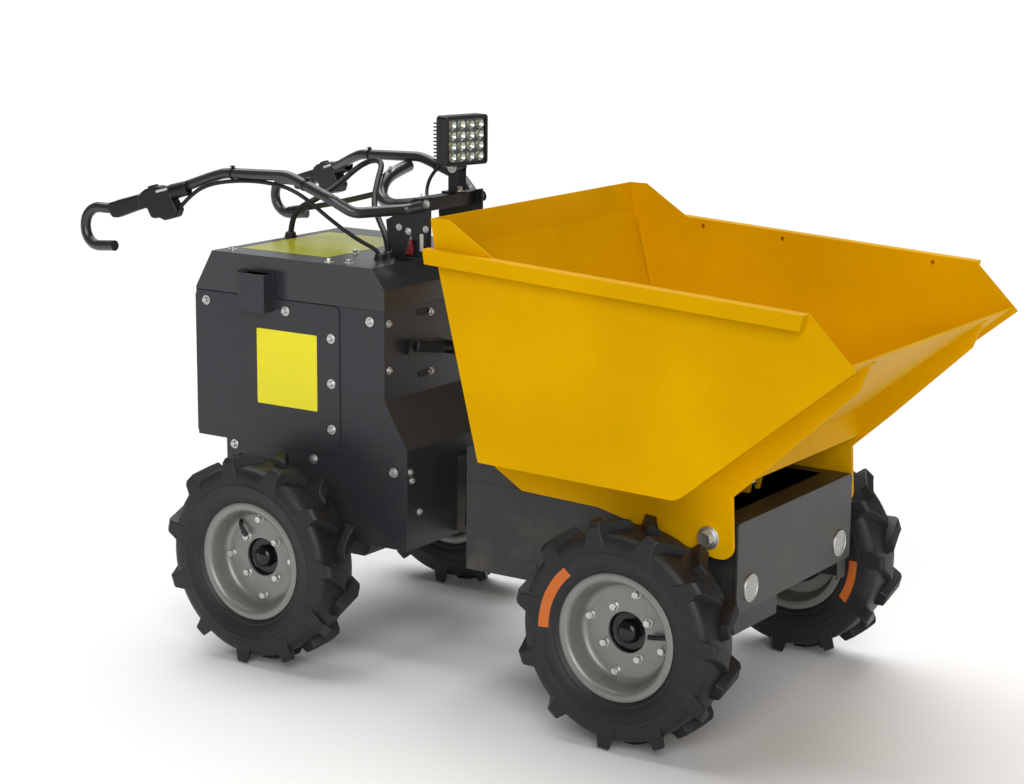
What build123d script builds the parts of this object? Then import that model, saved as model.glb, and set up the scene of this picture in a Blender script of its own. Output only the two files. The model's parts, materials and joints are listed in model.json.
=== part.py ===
"""Articulated walk-behind battery dumper with a forward-tipping bucket.

Millimetres.  +X forward (bucket end), +Y left, +Z up.  The origin lies on the
ground, in the middle of the machine's length and width.
"""
import os
from math import ceil, cos, hypot, pi, radians, sin, sqrt, tan

from build123d import *

os.makedirs("parts", exist_ok=True)

# ---------------------------------------------------------------- driving sizes
# running gear
REAR_AXLE_X = -376
FRONT_AXLE_X = 440
AXLE_Z = 205
TYRE_R = 205              # out to the lugs' tips
TREAD_R = 187             # between the lugs
TYRE_W = 108
WHEEL_SIDES = 32          # tyres and rims are rounded in this many flats, an even number
LUGS = 22                 # alternately on the left and right half of the tread
WHEEL_Y = 329             # middle of the tyre, and outer face of the wheel disc
BEAD_R = 103              # where the tyre sits on its rim
SEAT_W = 74               # between the rim's flanges
RIM_FLANGE_R = 115
RIM_EDGE = 4              # how far the flanges stand out past the seat
RIM_WELL_R = 91           # inside the rim, at the disc
BEAD_FIT = 0.3
DISC_T = 5
DISC_HOLE_R = 37.5
HUB_R = 66
HUB_T = 10
HUB_CAP_R = 34
HUB_CAP_BEVEL = (4, 9)    # height and width
SPINDLE_END = 3           # of the spindle, past the cap
HUB_SIDES = 16
SPINDLE_R = 12
WHEEL_GAP = 0.4           # running gap between a hub and its axle flange

# rear body
BODY_HALF_W = 210
SIDE_T = 4
SHEET_T = 3
COVER_T = 2.5
BODY_TOP_Z = 767
SEAM_Z = 687              # lower edge of the hood
BODY_REAR_X = -637
HOOD_REAR_X = -594
HOOD_FRONT_X = -200
HOOD_CHAMFER_Z = 727
BODY_FRONT_X = -171
SLANT_TOP_Z = 515
SLANT_LOW_Z = 425
LOWER_FRONT_X = -119
LOWER_REAR_X = -564
STEP_Z = 392
FLOOR_LOW_Z = 229
FLOOR_T = 8
AXLE_SEAT_Z = 258         # underside of the front axle's seats
COVER_FRONT_X = -277
COVER_BORDER = 36         # overlap of the access cover on the side plate

# articulation pivot
PIVOT_X = -45
PIVOT_PIN_R = 15
PIVOT_FIT = 0.06
PIVOT_HOUSING_R = 40
PIVOT_LOW_Z = 246
PIVOT_TOP_Z = 372
YOKE_T = 12
YOKE_R = 46

# front chassis
CHASSIS_REAR_X = 25
CHASSIS_FRONT_X = 597
CHASSIS_HALF_W = 220
CHASSIS_T = 6
CHASSIS_LOW_Z = 224
CHASSIS_TOP_Z = 400
PLATE_HALF_W = 225
PLATE_LOW_Z = 237
LEG_REAR_X = 500
LEG_LOW_Z = 198
DECK_OPEN_REAR_X = 230
DECK_OPEN_FRONT_X = 548
DECK_OPEN_HALF_W = 190

# bucket
BUCKET_HALF_W = 343
BUCKET_T = 3
RAIL_HALF_W = 365
RAIL_H = 27
BUCKET_TOP_REAR = (31, 895)
BUCKET_KINK = (40, 838)
BUCKET_LOW_REAR = (134, 468)
BUCKET_LOW_FRONT = (539, 457)
BUCKET_LIP = (859, 718)
RAIL_FRONT = (774, 802)
CORNER_FLAT = 39          # flat top of the raised rear corner
CORNER_FOOT_X = 164
FLOOR_INSET = 9           # the side plates stand this far proud of the floor
BOARD_HOLE_R = 4.5

# tipping gear
TIP_X = 547
TIP_Z = 372
TIP_PIN_R = 12
TIP_FIT = 0.06
HINGE_GAP = 11            # from the chassis to a hinge plate
RIB_Y = CHASSIS_HALF_W + HINGE_GAP
RIB_T = 8
SWING_GAP = 0.3           # between the hinge plates and the chassis bosses
CYL_BASE = (170, 252)
CYL_EYE = (490, 412)
CYL_BARREL_R = 25
CYL_ROD_R = 11
CYL_BARREL_L = 200
CYL_NECK = 34
EYE_R = 17
EYE_W = 24
CYL_PIN_R = 9

# handlebars
BAR_R = 10.5
BAR_SIDES = 8
CHORD_TURN = 30           # a bend is made of chords that turn at most this many degrees
GRIP_R = 12.5
BRACKET_Y = 100           # middle of a handlebar where it is bolted on


def save(piece, name):
    """Label a finished piece and write it as one STEP file."""
    piece.part.label = name
    export_step(piece.part, f"parts/{name}.step")


def moved_left(points, distance):
    """The corners of a run moved to its left by a distance, mitred."""
    steps = [Vector(*b) - Vector(*a) for a, b in zip(points, points[1:])]
    sides = [step.normalized().rotate(Axis.Z, 90) for step in steps]
    sides = [sides[0], *sides, sides[-1]]
    moved = []
    for point, before, after in zip(points, sides, sides[1:]):
        corner = before + after
        reach = distance * 2 / corner.dot(corner)
        moved.append((point[0] + corner.X * reach, point[1] + corner.Y * reach))
    return moved


def folded_sheet(points, thickness, bend):
    """Closed outline of a bent sheet: the points are its outer side, on the right."""
    outer = FilletPolyline(*points, radius=bend)
    inner = FilletPolyline(*moved_left(points, thickness), radius=bend - thickness)
    Line(outer @ 0, inner @ 0)
    Line(outer @ 1, inner @ 1)


def bend_radii(route):
    """The largest even bends for a limp run: 0.45 of the shorter side of each corner."""
    points = [Vector(*point) for point in route]
    runs = [b - a for a, b in zip(points, points[1:])]
    return [
        0.45 * min(a.length, b.length) / tan(radians(a.get_angle(b)) / 2)
        for a, b in zip(runs, runs[1:])
    ]


def rounded(route, bends):
    """The points of a route whose corners are bent to given radii, in short chords."""
    points = [Vector(*point) for point in route]
    stations = [points[0]]
    for before, corner, after, radius in zip(points, points[1:], points[2:], bends):
        arrive, leave = (corner - before).normalized(), (after - corner).normalized()
        turn = radians(arrive.get_angle(leave))
        inward = (leave - arrive).normalized()
        along = (leave + arrive).normalized()
        centre = corner + inward * (radius / cos(turn / 2))
        chords = ceil(turn / radians(CHORD_TURN))
        for step in range(chords + 1):
            swing = turn * (step / chords - 0.5)
            stations.append(centre + (along * sin(swing) - inward * cos(swing)) * radius)
    return stations + [points[-1]]


def tube(route, radius, bends, sides=BAR_SIDES, mode=Mode.ADD):
    """A bar in flats along straight runs joined by bends, mitred where its runs meet."""
    stations = rounded(route, bends)
    runs = [(b - a).normalized() for a, b in zip(stations, stations[1:])]
    # one flat of a level bar faces sideways
    level = runs[0].cross(Vector(0, 0, 1))
    start = Plane(
        origin=stations[0], x_dir=level if level.length > 0.01 else (1, 0, 0), z_dir=runs[0]
    )
    turns = [pi / sides * (2 * corner + 1) for corner in range(sides)]
    reach = radius / cos(pi / sides)
    corners = [
        start.from_local_coords(Vector(reach * cos(turn), reach * sin(turn), 0)) for turn in turns
    ]
    rings = [corners]
    for station, run, mitre in zip(
        stations[1:], runs, [*[a + b for a, b in zip(runs, runs[1:])], runs[-1]]
    ):
        corners = [c + run * ((station - c).dot(mitre) / run.dot(mitre)) for c in corners]
        rings.append(corners)
    loft([Face(Wire.make_polygon(ring)) for ring in rings], ruled=True, mode=mode)


def side_plane(y):
    """XZ plane at a distance y from the middle, with its normal along -Y."""
    return Plane(origin=(0, y, 0), x_dir=(1, 0, 0), z_dir=(0, -1, 0))


# ---------------------------------------------------------------- wheels
# bevels of the tyre's body, how far down the sidewall and how far along the other face
SHOULDER = (6.4, 18)
SHOULDER_EDGE = (20.6, 4.2)
# dished sidewall, half width and radius down to the rim's flange
SIDEWALL_DISH = [(TYRE_W / 2, 141), (SEAT_W / 2, RIM_FLANGE_R + 1)]
# a lug is a bar with sloping flanks that runs slantwise from near the middle of the
# tread; its ends are given as distances along the tread and across it
LUG_FOOT_R = 165
LUG_ROOT_W = 33
LUG_TIP_W = 18
LUG_INNER_END = Vector(-22, -6)
LUG_OUTER_END = Vector(17, TYRE_W / 2)
LUG_SPARE = 12            # runs on past the sidewall, and is trimmed flush
lug_run = LUG_OUTER_END - LUG_INNER_END
lug_reach = LUG_OUTER_END.X + LUG_TIP_W / 2 * lug_run.length / lug_run.Y
lug_height = sqrt(TYRE_R**2 - lug_reach**2) - LUG_FOOT_R
# inner faces of the rim on the outer and inner side of its disc: depth, radius
RIM_OUTER_DISH = [(SEAT_W / 2 + RIM_EDGE, 99), (22, RIM_WELL_R), (0, RIM_WELL_R)]
RIM_INNER_DISH = [(-SEAT_W / 2 - RIM_EDGE, 99), (-DISC_T, RIM_WELL_R)]
WHEELS = [
    # name, axle x, side
    ("front_left", FRONT_AXLE_X, 1),
    ("front_right", FRONT_AXLE_X, -1),
    ("rear_left", REAR_AXLE_X, 1),
    ("rear_right", REAR_AXLE_X, -1),
]


def turned(plane, profile, sides, mode=Mode.ADD):
    """A body turned about a plane's normal in flats, from (height, radius) pairs."""
    sections = []
    for height, radius in profile:
        with BuildSketch(plane.offset(height), mode=Mode.PRIVATE) as section:
            RegularPolygon(radius, sides)
        sections.append(section.sketch)
    loft(sections, ruled=True, mode=mode)


# each wheel piece is made once on the origin, its outer side towards +Y
hub_plane = Plane(origin=(0, 0, 0), x_dir=(1, 0, 0), z_dir=(0, 1, 0))

with BuildPart() as tyre:
    with BuildSketch(hub_plane.offset(-TYRE_W / 2)):
        RegularPolygon(TREAD_R, WHEEL_SIDES)
    extrude(amount=TYRE_W)
    for down, along in (SHOULDER, SHOULDER_EDGE):
        for side in (0, -1):
            sidewall = tyre.faces().sort_by(Axis.Y)[side]
            chamfer(sidewall.edges(), down, along, reference=sidewall)
    for half in (1, -1):
        turned(hub_plane, [(half * w, r) for w, r in SIDEWALL_DISH], WHEEL_SIDES, Mode.SUBTRACT)
    with BuildSketch(hub_plane.offset(-SEAT_W / 2)):
        RegularPolygon(BEAD_R, WHEEL_SIDES)
    extrude(amount=SEAT_W, mode=Mode.SUBTRACT)
    lugs = []
    for lug in range(LUGS):
        turn = radians(360 / LUGS * lug)
        out, ahead = Vector(cos(turn), 0, sin(turn)), Vector(-sin(turn), 0, cos(turn))
        across = Vector(0, 1 if lug % 2 else -1, 0)
        start = out * LUG_FOOT_R + ahead * LUG_INNER_END.X + across * LUG_INNER_END.Y
        slant = ahead * lug_run.X + across * lug_run.Y
        lug_plane = Plane(origin=start, x_dir=out.cross(slant), z_dir=slant)
        with BuildSketch(lug_plane, mode=Mode.PRIVATE) as section:
            with BuildLine():
                Polyline(
                    (-LUG_ROOT_W / 2, 0), (LUG_ROOT_W / 2, 0),
                    (LUG_TIP_W / 2, lug_height), (-LUG_TIP_W / 2, lug_height), close=True,
                )
            make_face()
        length = lug_run.length + LUG_SPARE
        lugs.append(extrude(section.sketch, amount=length, mode=Mode.PRIVATE))
    add(lugs)
    for half in (1, -1):
        with BuildSketch(hub_plane.offset(half * TYRE_W / 2)):
            Circle(TYRE_R + LUG_SPARE)
        extrude(amount=half * 2 * LUG_SPARE, mode=Mode.SUBTRACT)

with BuildPart() as rim:
    barrel_w = SEAT_W + 2 * RIM_EDGE
    with BuildSketch(hub_plane.offset(-barrel_w / 2)):
        RegularPolygon(BEAD_R - BEAD_FIT, WHEEL_SIDES)
    extrude(amount=barrel_w)
    for low in (-barrel_w / 2, SEAT_W / 2):
        with BuildSketch(hub_plane.offset(low)):
            RegularPolygon(RIM_FLANGE_R, WHEEL_SIDES)
        extrude(amount=RIM_EDGE)
    turned(hub_plane, RIM_OUTER_DISH, WHEEL_SIDES, Mode.SUBTRACT)
    turned(hub_plane, RIM_INNER_DISH, WHEEL_SIDES, Mode.SUBTRACT)
    with BuildSketch(hub_plane.offset(-DISC_T)):
        RegularPolygon(DISC_HOLE_R, HUB_SIDES)
    extrude(amount=DISC_T, mode=Mode.SUBTRACT)

with BuildPart() as hub:
    with BuildSketch(hub_plane.offset(-DISC_T - HUB_T)):
        RegularPolygon(HUB_R, HUB_SIDES)
    extrude(amount=HUB_T)
    cap_rise, cap_narrows = HUB_CAP_BEVEL
    turned(
        hub_plane,
        [(-DISC_T, HUB_CAP_R), (-cap_rise, HUB_CAP_R), (0, HUB_CAP_R - cap_narrows)],
        HUB_SIDES,
    )
    with BuildSketch(hub_plane):
        RegularPolygon(SPINDLE_R, HUB_SIDES)
    extrude(amount=SPINDLE_END)

for wheel, axle_x, side in WHEELS:
    middle = (axle_x, side * WHEEL_Y, AXLE_Z)
    # the tread points the same way on both sides; rim and hub face outwards
    facing = Location(middle, (0, 0, 0 if side > 0 else 180))
    for name, piece, place in (
        ("tyre", tyre, Location(middle)), ("rim", rim, facing), ("hub", hub, facing)
    ):
        with BuildPart() as placed:
            with Locations(place):
                add(piece.part)
        save(placed, f"{name}_{wheel}")

# axle beams with a drive housing; they end at the hubs' inner faces
HUB_INNER_Y = WHEEL_Y - DISC_T - HUB_T
AXLES = [
    # name, axle x, underside of what it hangs from, half width of the mount
    ("rear_axle", REAR_AXLE_X, FLOOR_LOW_Z, 180),
    ("front_axle", FRONT_AXLE_X, AXLE_SEAT_Z, CHASSIS_HALF_W - CHASSIS_T),
]
AXLE_TUBE_R = 22
AXLE_FLANGE_R = 44
CASE_H = 76
for name, axle_x, top_z, mount_half in AXLES:
    centre = Plane(origin=(axle_x, 0, AXLE_Z), x_dir=(1, 0, 0), z_dir=(0, 1, 0))
    end_y = HUB_INNER_Y - WHEEL_GAP
    with BuildPart() as axle:
        with BuildSketch(centre.offset(-end_y)):
            Circle(AXLE_TUBE_R)
        extrude(amount=2 * end_y)
        for side in (-1, 1):
            turned(
                centre, [(side * (end_y - 14), AXLE_FLANGE_R), (side * end_y, AXLE_FLANGE_R)],
                HUB_SIDES,
            )
        with BuildSketch(centre.offset(-62)):
            with Locations((0, (CASE_H - 2 * AXLE_TUBE_R) / 2)):
                Rectangle(116, CASE_H)
                chamfer(vertices(), 16)
        extrude(amount=124)
        with BuildSketch(Plane.XY.offset(AXLE_Z)):
            with Locations((axle_x, -mount_half + 30), (axle_x, mount_half - 30)):
                Rectangle(70, 60)
        extrude(amount=top_z - AXLE_Z)
    save(axle, name)

# ---------------------------------------------------------------- rear body
SIDE_OUTLINE = [
    (BODY_REAR_X, SEAM_Z),
    (BODY_REAR_X, STEP_Z),
    (LOWER_REAR_X, STEP_Z),
    (LOWER_REAR_X, FLOOR_LOW_Z),
    (LOWER_FRONT_X, FLOOR_LOW_Z),
    (LOWER_FRONT_X, SLANT_LOW_Z),
    (BODY_FRONT_X, SLANT_TOP_Z),
    (BODY_FRONT_X, SEAM_Z),
]
FRONT_FOLD = [
    (BODY_FRONT_X, SEAM_Z),
    (BODY_FRONT_X, SLANT_TOP_Z),
    (LOWER_FRONT_X, SLANT_LOW_Z),
    (LOWER_FRONT_X, FLOOR_LOW_Z),
]
REAR_FOLD = [
    (BODY_REAR_X, SEAM_Z),
    (BODY_REAR_X, STEP_Z),
    (LOWER_REAR_X, STEP_Z),
    (LOWER_REAR_X, FLOOR_LOW_Z),
]
HOOD_OUTLINE = [
    (BODY_REAR_X, SEAM_Z),
    (BODY_REAR_X, SEAM_Z + 5),
    (HOOD_REAR_X, BODY_TOP_Z),
    (HOOD_FRONT_X, BODY_TOP_Z),
    (BODY_FRONT_X, HOOD_CHAMFER_Z),
    (BODY_FRONT_X, SEAM_Z),
]


cover_z = (STEP_Z + SEAM_Z) / 2
cover_x = (BODY_REAR_X + COVER_FRONT_X) / 2
cover_l = COVER_FRONT_X - BODY_REAR_X
cover_h = SEAM_Z - STEP_Z - 2
for hand, side in (("left", 1), ("right", -1)):
    with BuildPart() as side_panel:
        with BuildSketch(side_plane(side * BODY_HALF_W)):
            with BuildLine():
                Polyline(*SIDE_OUTLINE, close=True)
            make_face()
            with Locations((cover_x, cover_z)):
                RectangleRounded(
                    cover_l - 2 * COVER_BORDER, cover_h - 2 * COVER_BORDER, 12,
                    mode=Mode.SUBTRACT,
                )
        extrude(amount=side * SIDE_T)
    save(side_panel, f"side_panel_{hand}")

    with BuildPart() as cover:
        with BuildSketch(side_plane(side * BODY_HALF_W)):
            with Locations((cover_x, cover_z)):
                RectangleRounded(cover_l, cover_h, 12)
        extrude(amount=-side * COVER_T)
    save(cover, f"access_cover_{hand}")

inner_w = BODY_HALF_W - SIDE_T
for name, fold in (("front_panel", FRONT_FOLD[::-1]), ("rear_panel", REAR_FOLD)):
    with BuildPart() as panel:
        with BuildSketch(side_plane(inner_w)):
            with BuildLine():
                folded_sheet(fold, SHEET_T, 2 * SHEET_T)
            make_face()
        extrude(amount=2 * inner_w)
    save(panel, name)

with BuildPart() as hood:
    with BuildSketch(side_plane(BODY_HALF_W)):
        with BuildLine():
            Polyline(*HOOD_OUTLINE, close=True)
        make_face()
    extrude(amount=2 * BODY_HALF_W)
    with BuildSketch(side_plane(BODY_HALF_W - SHEET_T)):
        with BuildLine():
            Polyline(*HOOD_OUTLINE, close=True)
        make_face()
        offset(amount=-SHEET_T, kind=Kind.INTERSECTION, mode=Mode.REPLACE)
        with Locations(((BODY_REAR_X + BODY_FRONT_X) / 2, SEAM_Z)):
            Rectangle(BODY_FRONT_X - BODY_REAR_X - 2 * SHEET_T, 2 * SHEET_T)
    extrude(amount=2 * (BODY_HALF_W - SHEET_T), mode=Mode.SUBTRACT)
save(hood, "hood")

# open-topped sheet-metal pocket on the right side of the hood
POCKET_X = -478
POCKET_W = 84
POCKET_D = 30
POCKET_LOW_Z = 662
POCKET_H = 74
with BuildPart() as pocket:
    with BuildSketch(Plane.XY.offset(POCKET_LOW_Z)):
        with Locations((POCKET_X, -BODY_HALF_W - COVER_T - POCKET_D / 2)):
            Rectangle(POCKET_W, POCKET_D)
    extrude(amount=POCKET_H)
    offset(amount=-2, openings=pocket.faces().sort_by(Axis.Z)[-1])
save(pocket, "side_pocket")

# floor between the side panels, and the battery's shelf
with BuildPart() as rear_frame:
    floor_l = LOWER_FRONT_X - LOWER_REAR_X - 2 * SHEET_T
    with BuildSketch(Plane.XY.offset(FLOOR_LOW_Z)):
        with Locations(((LOWER_FRONT_X + LOWER_REAR_X) / 2, 0)):
            Rectangle(floor_l, 2 * inner_w)
    extrude(amount=FLOOR_T)
    for x in (LOWER_REAR_X + 60, BODY_FRONT_X - 60):
        with BuildSketch(Plane.XY.offset(FLOOR_LOW_Z)):
            with Locations((x, 0)):
                Rectangle(40, 2 * inner_w)
        extrude(amount=STEP_Z + SHEET_T - FLOOR_LOW_Z)
save(rear_frame, "rear_frame")

# the yoke of the articulation pivot stands out from the lower front panel
yoke_h = PIVOT_TOP_Z - PIVOT_LOW_Z + 2 * YOKE_T
with BuildPart() as pivot_yoke:
    for level in (PIVOT_LOW_Z - YOKE_T, PIVOT_TOP_Z):
        with BuildSketch(Plane.XY.offset(level)):
            with Locations((PIVOT_X, 0)):
                Circle(YOKE_R)
            with Locations(((LOWER_FRONT_X + PIVOT_X) / 2, 0)):
                Rectangle(PIVOT_X - LOWER_FRONT_X, 2 * YOKE_R)
            with Locations((PIVOT_X, 0)):
                Circle(PIVOT_PIN_R, mode=Mode.SUBTRACT)
        extrude(amount=YOKE_T)
    with BuildSketch(Plane.XY.offset(PIVOT_LOW_Z - YOKE_T)):
        with Locations((LOWER_FRONT_X + 10, YOKE_R - 4), (LOWER_FRONT_X + 10, 4 - YOKE_R)):
            Rectangle(20, 8)
        with Locations((LOWER_FRONT_X + 4, 0)):
            Rectangle(8, 2 * YOKE_R)
    extrude(amount=yoke_h)
save(pivot_yoke, "pivot_yoke")

with BuildPart() as pivot_pin:
    with BuildSketch(Plane.XY.offset(PIVOT_LOW_Z - YOKE_T)):
        with Locations((PIVOT_X, 0)):
            Circle(PIVOT_PIN_R)
    extrude(amount=PIVOT_TOP_Z - PIVOT_LOW_Z + 2 * YOKE_T)
    for level, rise in ((PIVOT_TOP_Z + YOKE_T, 9), (PIVOT_LOW_Z - YOKE_T, -9)):
        with BuildSketch(Plane.XY.offset(level)):
            with Locations((PIVOT_X, 0)):
                RegularPolygon(24, 6)
        extrude(amount=rise)
save(pivot_pin, "pivot_pin")

BATTERY_TOP_Z = 640
with BuildPart() as battery:
    with BuildSketch(Plane.XY.offset(STEP_Z + SHEET_T)):
        with Locations(((BODY_REAR_X + BODY_FRONT_X) / 2, 0)):
            Rectangle(360, 340)
    extrude(amount=BATTERY_TOP_Z - STEP_Z - SHEET_T)
save(battery, "battery_block")

# ---------------------------------------------------------------- front chassis
with BuildPart() as front_frame:
    chassis_l = CHASSIS_FRONT_X - CHASSIS_T - CHASSIS_REAR_X
    side_h = CHASSIS_TOP_Z - CHASSIS_T - CHASSIS_LOW_Z
    with BuildSketch(Plane.XY.offset(CHASSIS_LOW_Z)):
        with Locations(((CHASSIS_REAR_X + CHASSIS_FRONT_X - CHASSIS_T) / 2, 0)):
            Rectangle(chassis_l, 2 * CHASSIS_HALF_W)
        with Locations(((CHASSIS_REAR_X + CHASSIS_FRONT_X) / 2, 0)):
            Rectangle(
                chassis_l - CHASSIS_T, 2 * (CHASSIS_HALF_W - CHASSIS_T), mode=Mode.SUBTRACT
            )
    extrude(amount=side_h)
    # the sides reach lower in front of the axle
    for side in (-1, 1):
        with BuildSketch(side_plane(side * CHASSIS_HALF_W)):
            with BuildLine():
                Polyline(
                    (LEG_REAR_X, CHASSIS_LOW_Z), (CHASSIS_FRONT_X - CHASSIS_T, CHASSIS_LOW_Z),
                    (CHASSIS_FRONT_X - CHASSIS_T, LEG_LOW_Z), (LEG_REAR_X + 40, LEG_LOW_Z),
                    close=True,
                )
            make_face()
        extrude(amount=side * CHASSIS_T)
    # bosses that carry the bucket's hinge pins
    for side in (-1, 1):
        with BuildSketch(side_plane(side * CHASSIS_HALF_W)):
            with Locations((TIP_X, TIP_Z)):
                Circle(20)
        extrude(amount=-side * (RIB_Y - CHASSIS_HALF_W - SWING_GAP))
    # notches for the axle housing
    with BuildSketch(side_plane(CHASSIS_HALF_W)):
        with Locations((FRONT_AXLE_X, CHASSIS_LOW_Z)):
            Rectangle(2 * AXLE_FLANGE_R, 2 * (AXLE_SEAT_Z - CHASSIS_LOW_Z))
    extrude(amount=2 * CHASSIS_HALF_W, mode=Mode.SUBTRACT)
    # cross member that carries the tipping cylinder and its two lugs
    with BuildSketch(Plane.XY.offset(CHASSIS_LOW_Z)):
        with Locations((CYL_BASE[0], 0)):
            Rectangle(60, 2 * (CHASSIS_HALF_W - CHASSIS_T))
    extrude(amount=6)
    with BuildSketch(Plane.XY.offset(CHASSIS_LOW_Z)):
        with Locations(
            (CYL_BASE[0], EYE_W / 2 + 5 + 0.5), (CYL_BASE[0], -EYE_W / 2 - 5 - 0.5)
        ):
            Rectangle(36, 10)
    extrude(amount=CYL_BASE[1] + 16 - CHASSIS_LOW_Z)
    # holes for the cylinder's base pin and for the bucket's hinge pins
    for centre, radius in ((CYL_BASE, CYL_PIN_R + TIP_FIT), ((TIP_X, TIP_Z), TIP_PIN_R)):
        with BuildSketch(side_plane(RIB_Y)):
            with Locations(centre):
                Circle(radius)
        extrude(amount=2 * RIB_Y, mode=Mode.SUBTRACT)
save(front_frame, "front_frame")

with BuildPart() as pivot_post:
    with BuildSketch(Plane.XY.offset(PIVOT_LOW_Z + SWING_GAP)):
        with Locations((PIVOT_X, 0)):
            Circle(PIVOT_HOUSING_R)
        with Locations(((PIVOT_X + CHASSIS_REAR_X) / 2, 0)):
            Rectangle(CHASSIS_REAR_X - PIVOT_X, 56)
        with Locations((PIVOT_X, 0)):
            Circle(PIVOT_PIN_R + PIVOT_FIT, mode=Mode.SUBTRACT)
    extrude(amount=PIVOT_TOP_Z - PIVOT_LOW_Z - 2 * SWING_GAP)
save(pivot_post, "pivot_post")

with BuildPart() as front_deck:
    with BuildSketch(Plane.XY.offset(CHASSIS_TOP_Z - CHASSIS_T)):
        with Locations(((CHASSIS_REAR_X + CHASSIS_FRONT_X - CHASSIS_T) / 2, 0)):
            Rectangle(chassis_l, 2 * CHASSIS_HALF_W)
        with Locations(((DECK_OPEN_REAR_X + DECK_OPEN_FRONT_X) / 2, 0)):
            Rectangle(
                DECK_OPEN_FRONT_X - DECK_OPEN_REAR_X, 2 * DECK_OPEN_HALF_W,
                mode=Mode.SUBTRACT,
            )
    extrude(amount=CHASSIS_T)
save(front_deck, "front_deck")

# apron under the front plate, cut out on the left for the axle's service side
APRON_CUT = (-60, 188)
APRON_CUT_RISE = 14       # over the front plate's lower edge
APRON_TOP_Z = 300
apron_plane = Plane(
    origin=(CHASSIS_FRONT_X - CHASSIS_T, 0, 0), x_dir=(0, 1, 0), z_dir=(1, 0, 0)
)
with BuildPart() as front_apron:
    with BuildSketch(apron_plane):
        with Locations((0, (LEG_LOW_Z + APRON_TOP_Z) / 2)):
            Rectangle(2 * (CHASSIS_HALF_W - CHASSIS_T), APRON_TOP_Z - LEG_LOW_Z)
        with Locations((sum(APRON_CUT) / 2, LEG_LOW_Z)):
            Rectangle(
                APRON_CUT[1] - APRON_CUT[0], 2 * (PLATE_LOW_Z + APRON_CUT_RISE - LEG_LOW_Z),
                mode=Mode.SUBTRACT,
            )
    extrude(amount=-SHEET_T)
save(front_apron, "front_apron")

LAMP_R = 25
LAMP_Y = 176
LAMP_Z = 275
face_plane = Plane(origin=(CHASSIS_FRONT_X, 0, 0), x_dir=(0, 1, 0), z_dir=(1, 0, 0))
with BuildPart() as front_plate:
    with BuildSketch(face_plane):
        with Locations((0, (PLATE_LOW_Z + CHASSIS_TOP_Z) / 2)):
            Rectangle(2 * PLATE_HALF_W, CHASSIS_TOP_Z - PLATE_LOW_Z)
    extrude(amount=-CHASSIS_T)
    fillet(front_plate.edges().filter_by(Axis.X), 8)
save(front_plate, "front_plate")

with BuildPart() as front_lamps:
    with BuildSketch(face_plane):
        with Locations((-LAMP_Y, LAMP_Z), (LAMP_Y, LAMP_Z)):
            Circle(LAMP_R)
    extrude(amount=5)
save(front_lamps, "front_lamps")

# ---------------------------------------------------------------- bucket
def rail_z(x):
    """Height of the bucket's sloping top edge."""
    rise = (BUCKET_KINK[1] + 5 - RAIL_FRONT[1]) / (RAIL_FRONT[0] - BUCKET_TOP_REAR[0])
    return RAIL_FRONT[1] + (RAIL_FRONT[0] - x) * rise


SIDE_POINTS = [
    BUCKET_TOP_REAR,
    BUCKET_KINK,
    BUCKET_LOW_REAR,
    BUCKET_LOW_FRONT,
    BUCKET_LIP,
    RAIL_FRONT,
    (CORNER_FOOT_X, rail_z(CORNER_FOOT_X)),
    (BUCKET_TOP_REAR[0] + CORNER_FLAT, BUCKET_TOP_REAR[1]),
]
SHELL_POINTS = SIDE_POINTS[:5]
# holes along the top edge for boards that heighten the bucket
BOARD_HOLES_X = (201, 376, 688)
BOARD_HOLE_DROP = 14

for hand, side in (("left", 1), ("right", -1)):
    with BuildPart() as bucket_side:
        with BuildSketch(side_plane(side * BUCKET_HALF_W)):
            with BuildLine():
                Polyline(*SIDE_POINTS, close=True)
            make_face()
            fillet(vertices().sort_by(Axis.Y)[:2], 40)
            with Locations(*[(x, rail_z(x) - BOARD_HOLE_DROP) for x in BOARD_HOLES_X]):
                Circle(BOARD_HOLE_R, mode=Mode.SUBTRACT)
        extrude(amount=side * BUCKET_T)
    save(bucket_side, f"bucket_side_{hand}")

shell_half = BUCKET_HALF_W - BUCKET_T
shell_outer = [BUCKET_TOP_REAR, BUCKET_KINK, *moved_left(SHELL_POINTS, FLOOR_INSET)[2:]]
with BuildPart() as bucket_shell:
    with BuildSketch(side_plane(shell_half)):
        with BuildLine():
            folded_sheet(shell_outer, BUCKET_T, 32)
        make_face()
    extrude(amount=2 * shell_half)
save(bucket_shell, "bucket_shell")

# folded rails along both top edges
with BuildPart() as bucket_rails:
    for side in (-1, 1):
        y_in = side * BUCKET_HALF_W
        reach = RAIL_HALF_W - BUCKET_HALF_W
        with BuildSketch(side_plane(y_in)):
            with BuildLine():
                start = (BUCKET_TOP_REAR[0] - 3, rail_z(BUCKET_TOP_REAR[0] - 3))
                Polyline(
                    start, RAIL_FRONT,
                    (RAIL_FRONT[0] - 6, RAIL_FRONT[1] - RAIL_H),
                    (start[0] + 4, start[1] - RAIL_H), close=True,
                )
            make_face()
        extrude(amount=-side * reach)
        with BuildSketch(side_plane(y_in)):
            with BuildLine():
                Polyline(
                    (start[0] + 3, start[1] - 3), (RAIL_FRONT[0] - 3, RAIL_FRONT[1] - 3),
                    (RAIL_FRONT[0] - 9, RAIL_FRONT[1] - RAIL_H - 3),
                    (start[0] + 7, start[1] - RAIL_H - 3), close=True,
                )
            make_face()
        extrude(amount=-side * (reach - 3), mode=Mode.SUBTRACT)
save(bucket_rails, "bucket_rails")

# hinge plates under the bucket, one each side of the chassis
RIB_POINTS = [
    (100, 433),
    (160, 397),
    (322, 391),
    (TIP_X + 12, TIP_Z - 36),
    (TIP_X + 43, TIP_Z - 10),
    (TIP_X + 43, 449),
    (660, 512),
    (818, 662),
]


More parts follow.
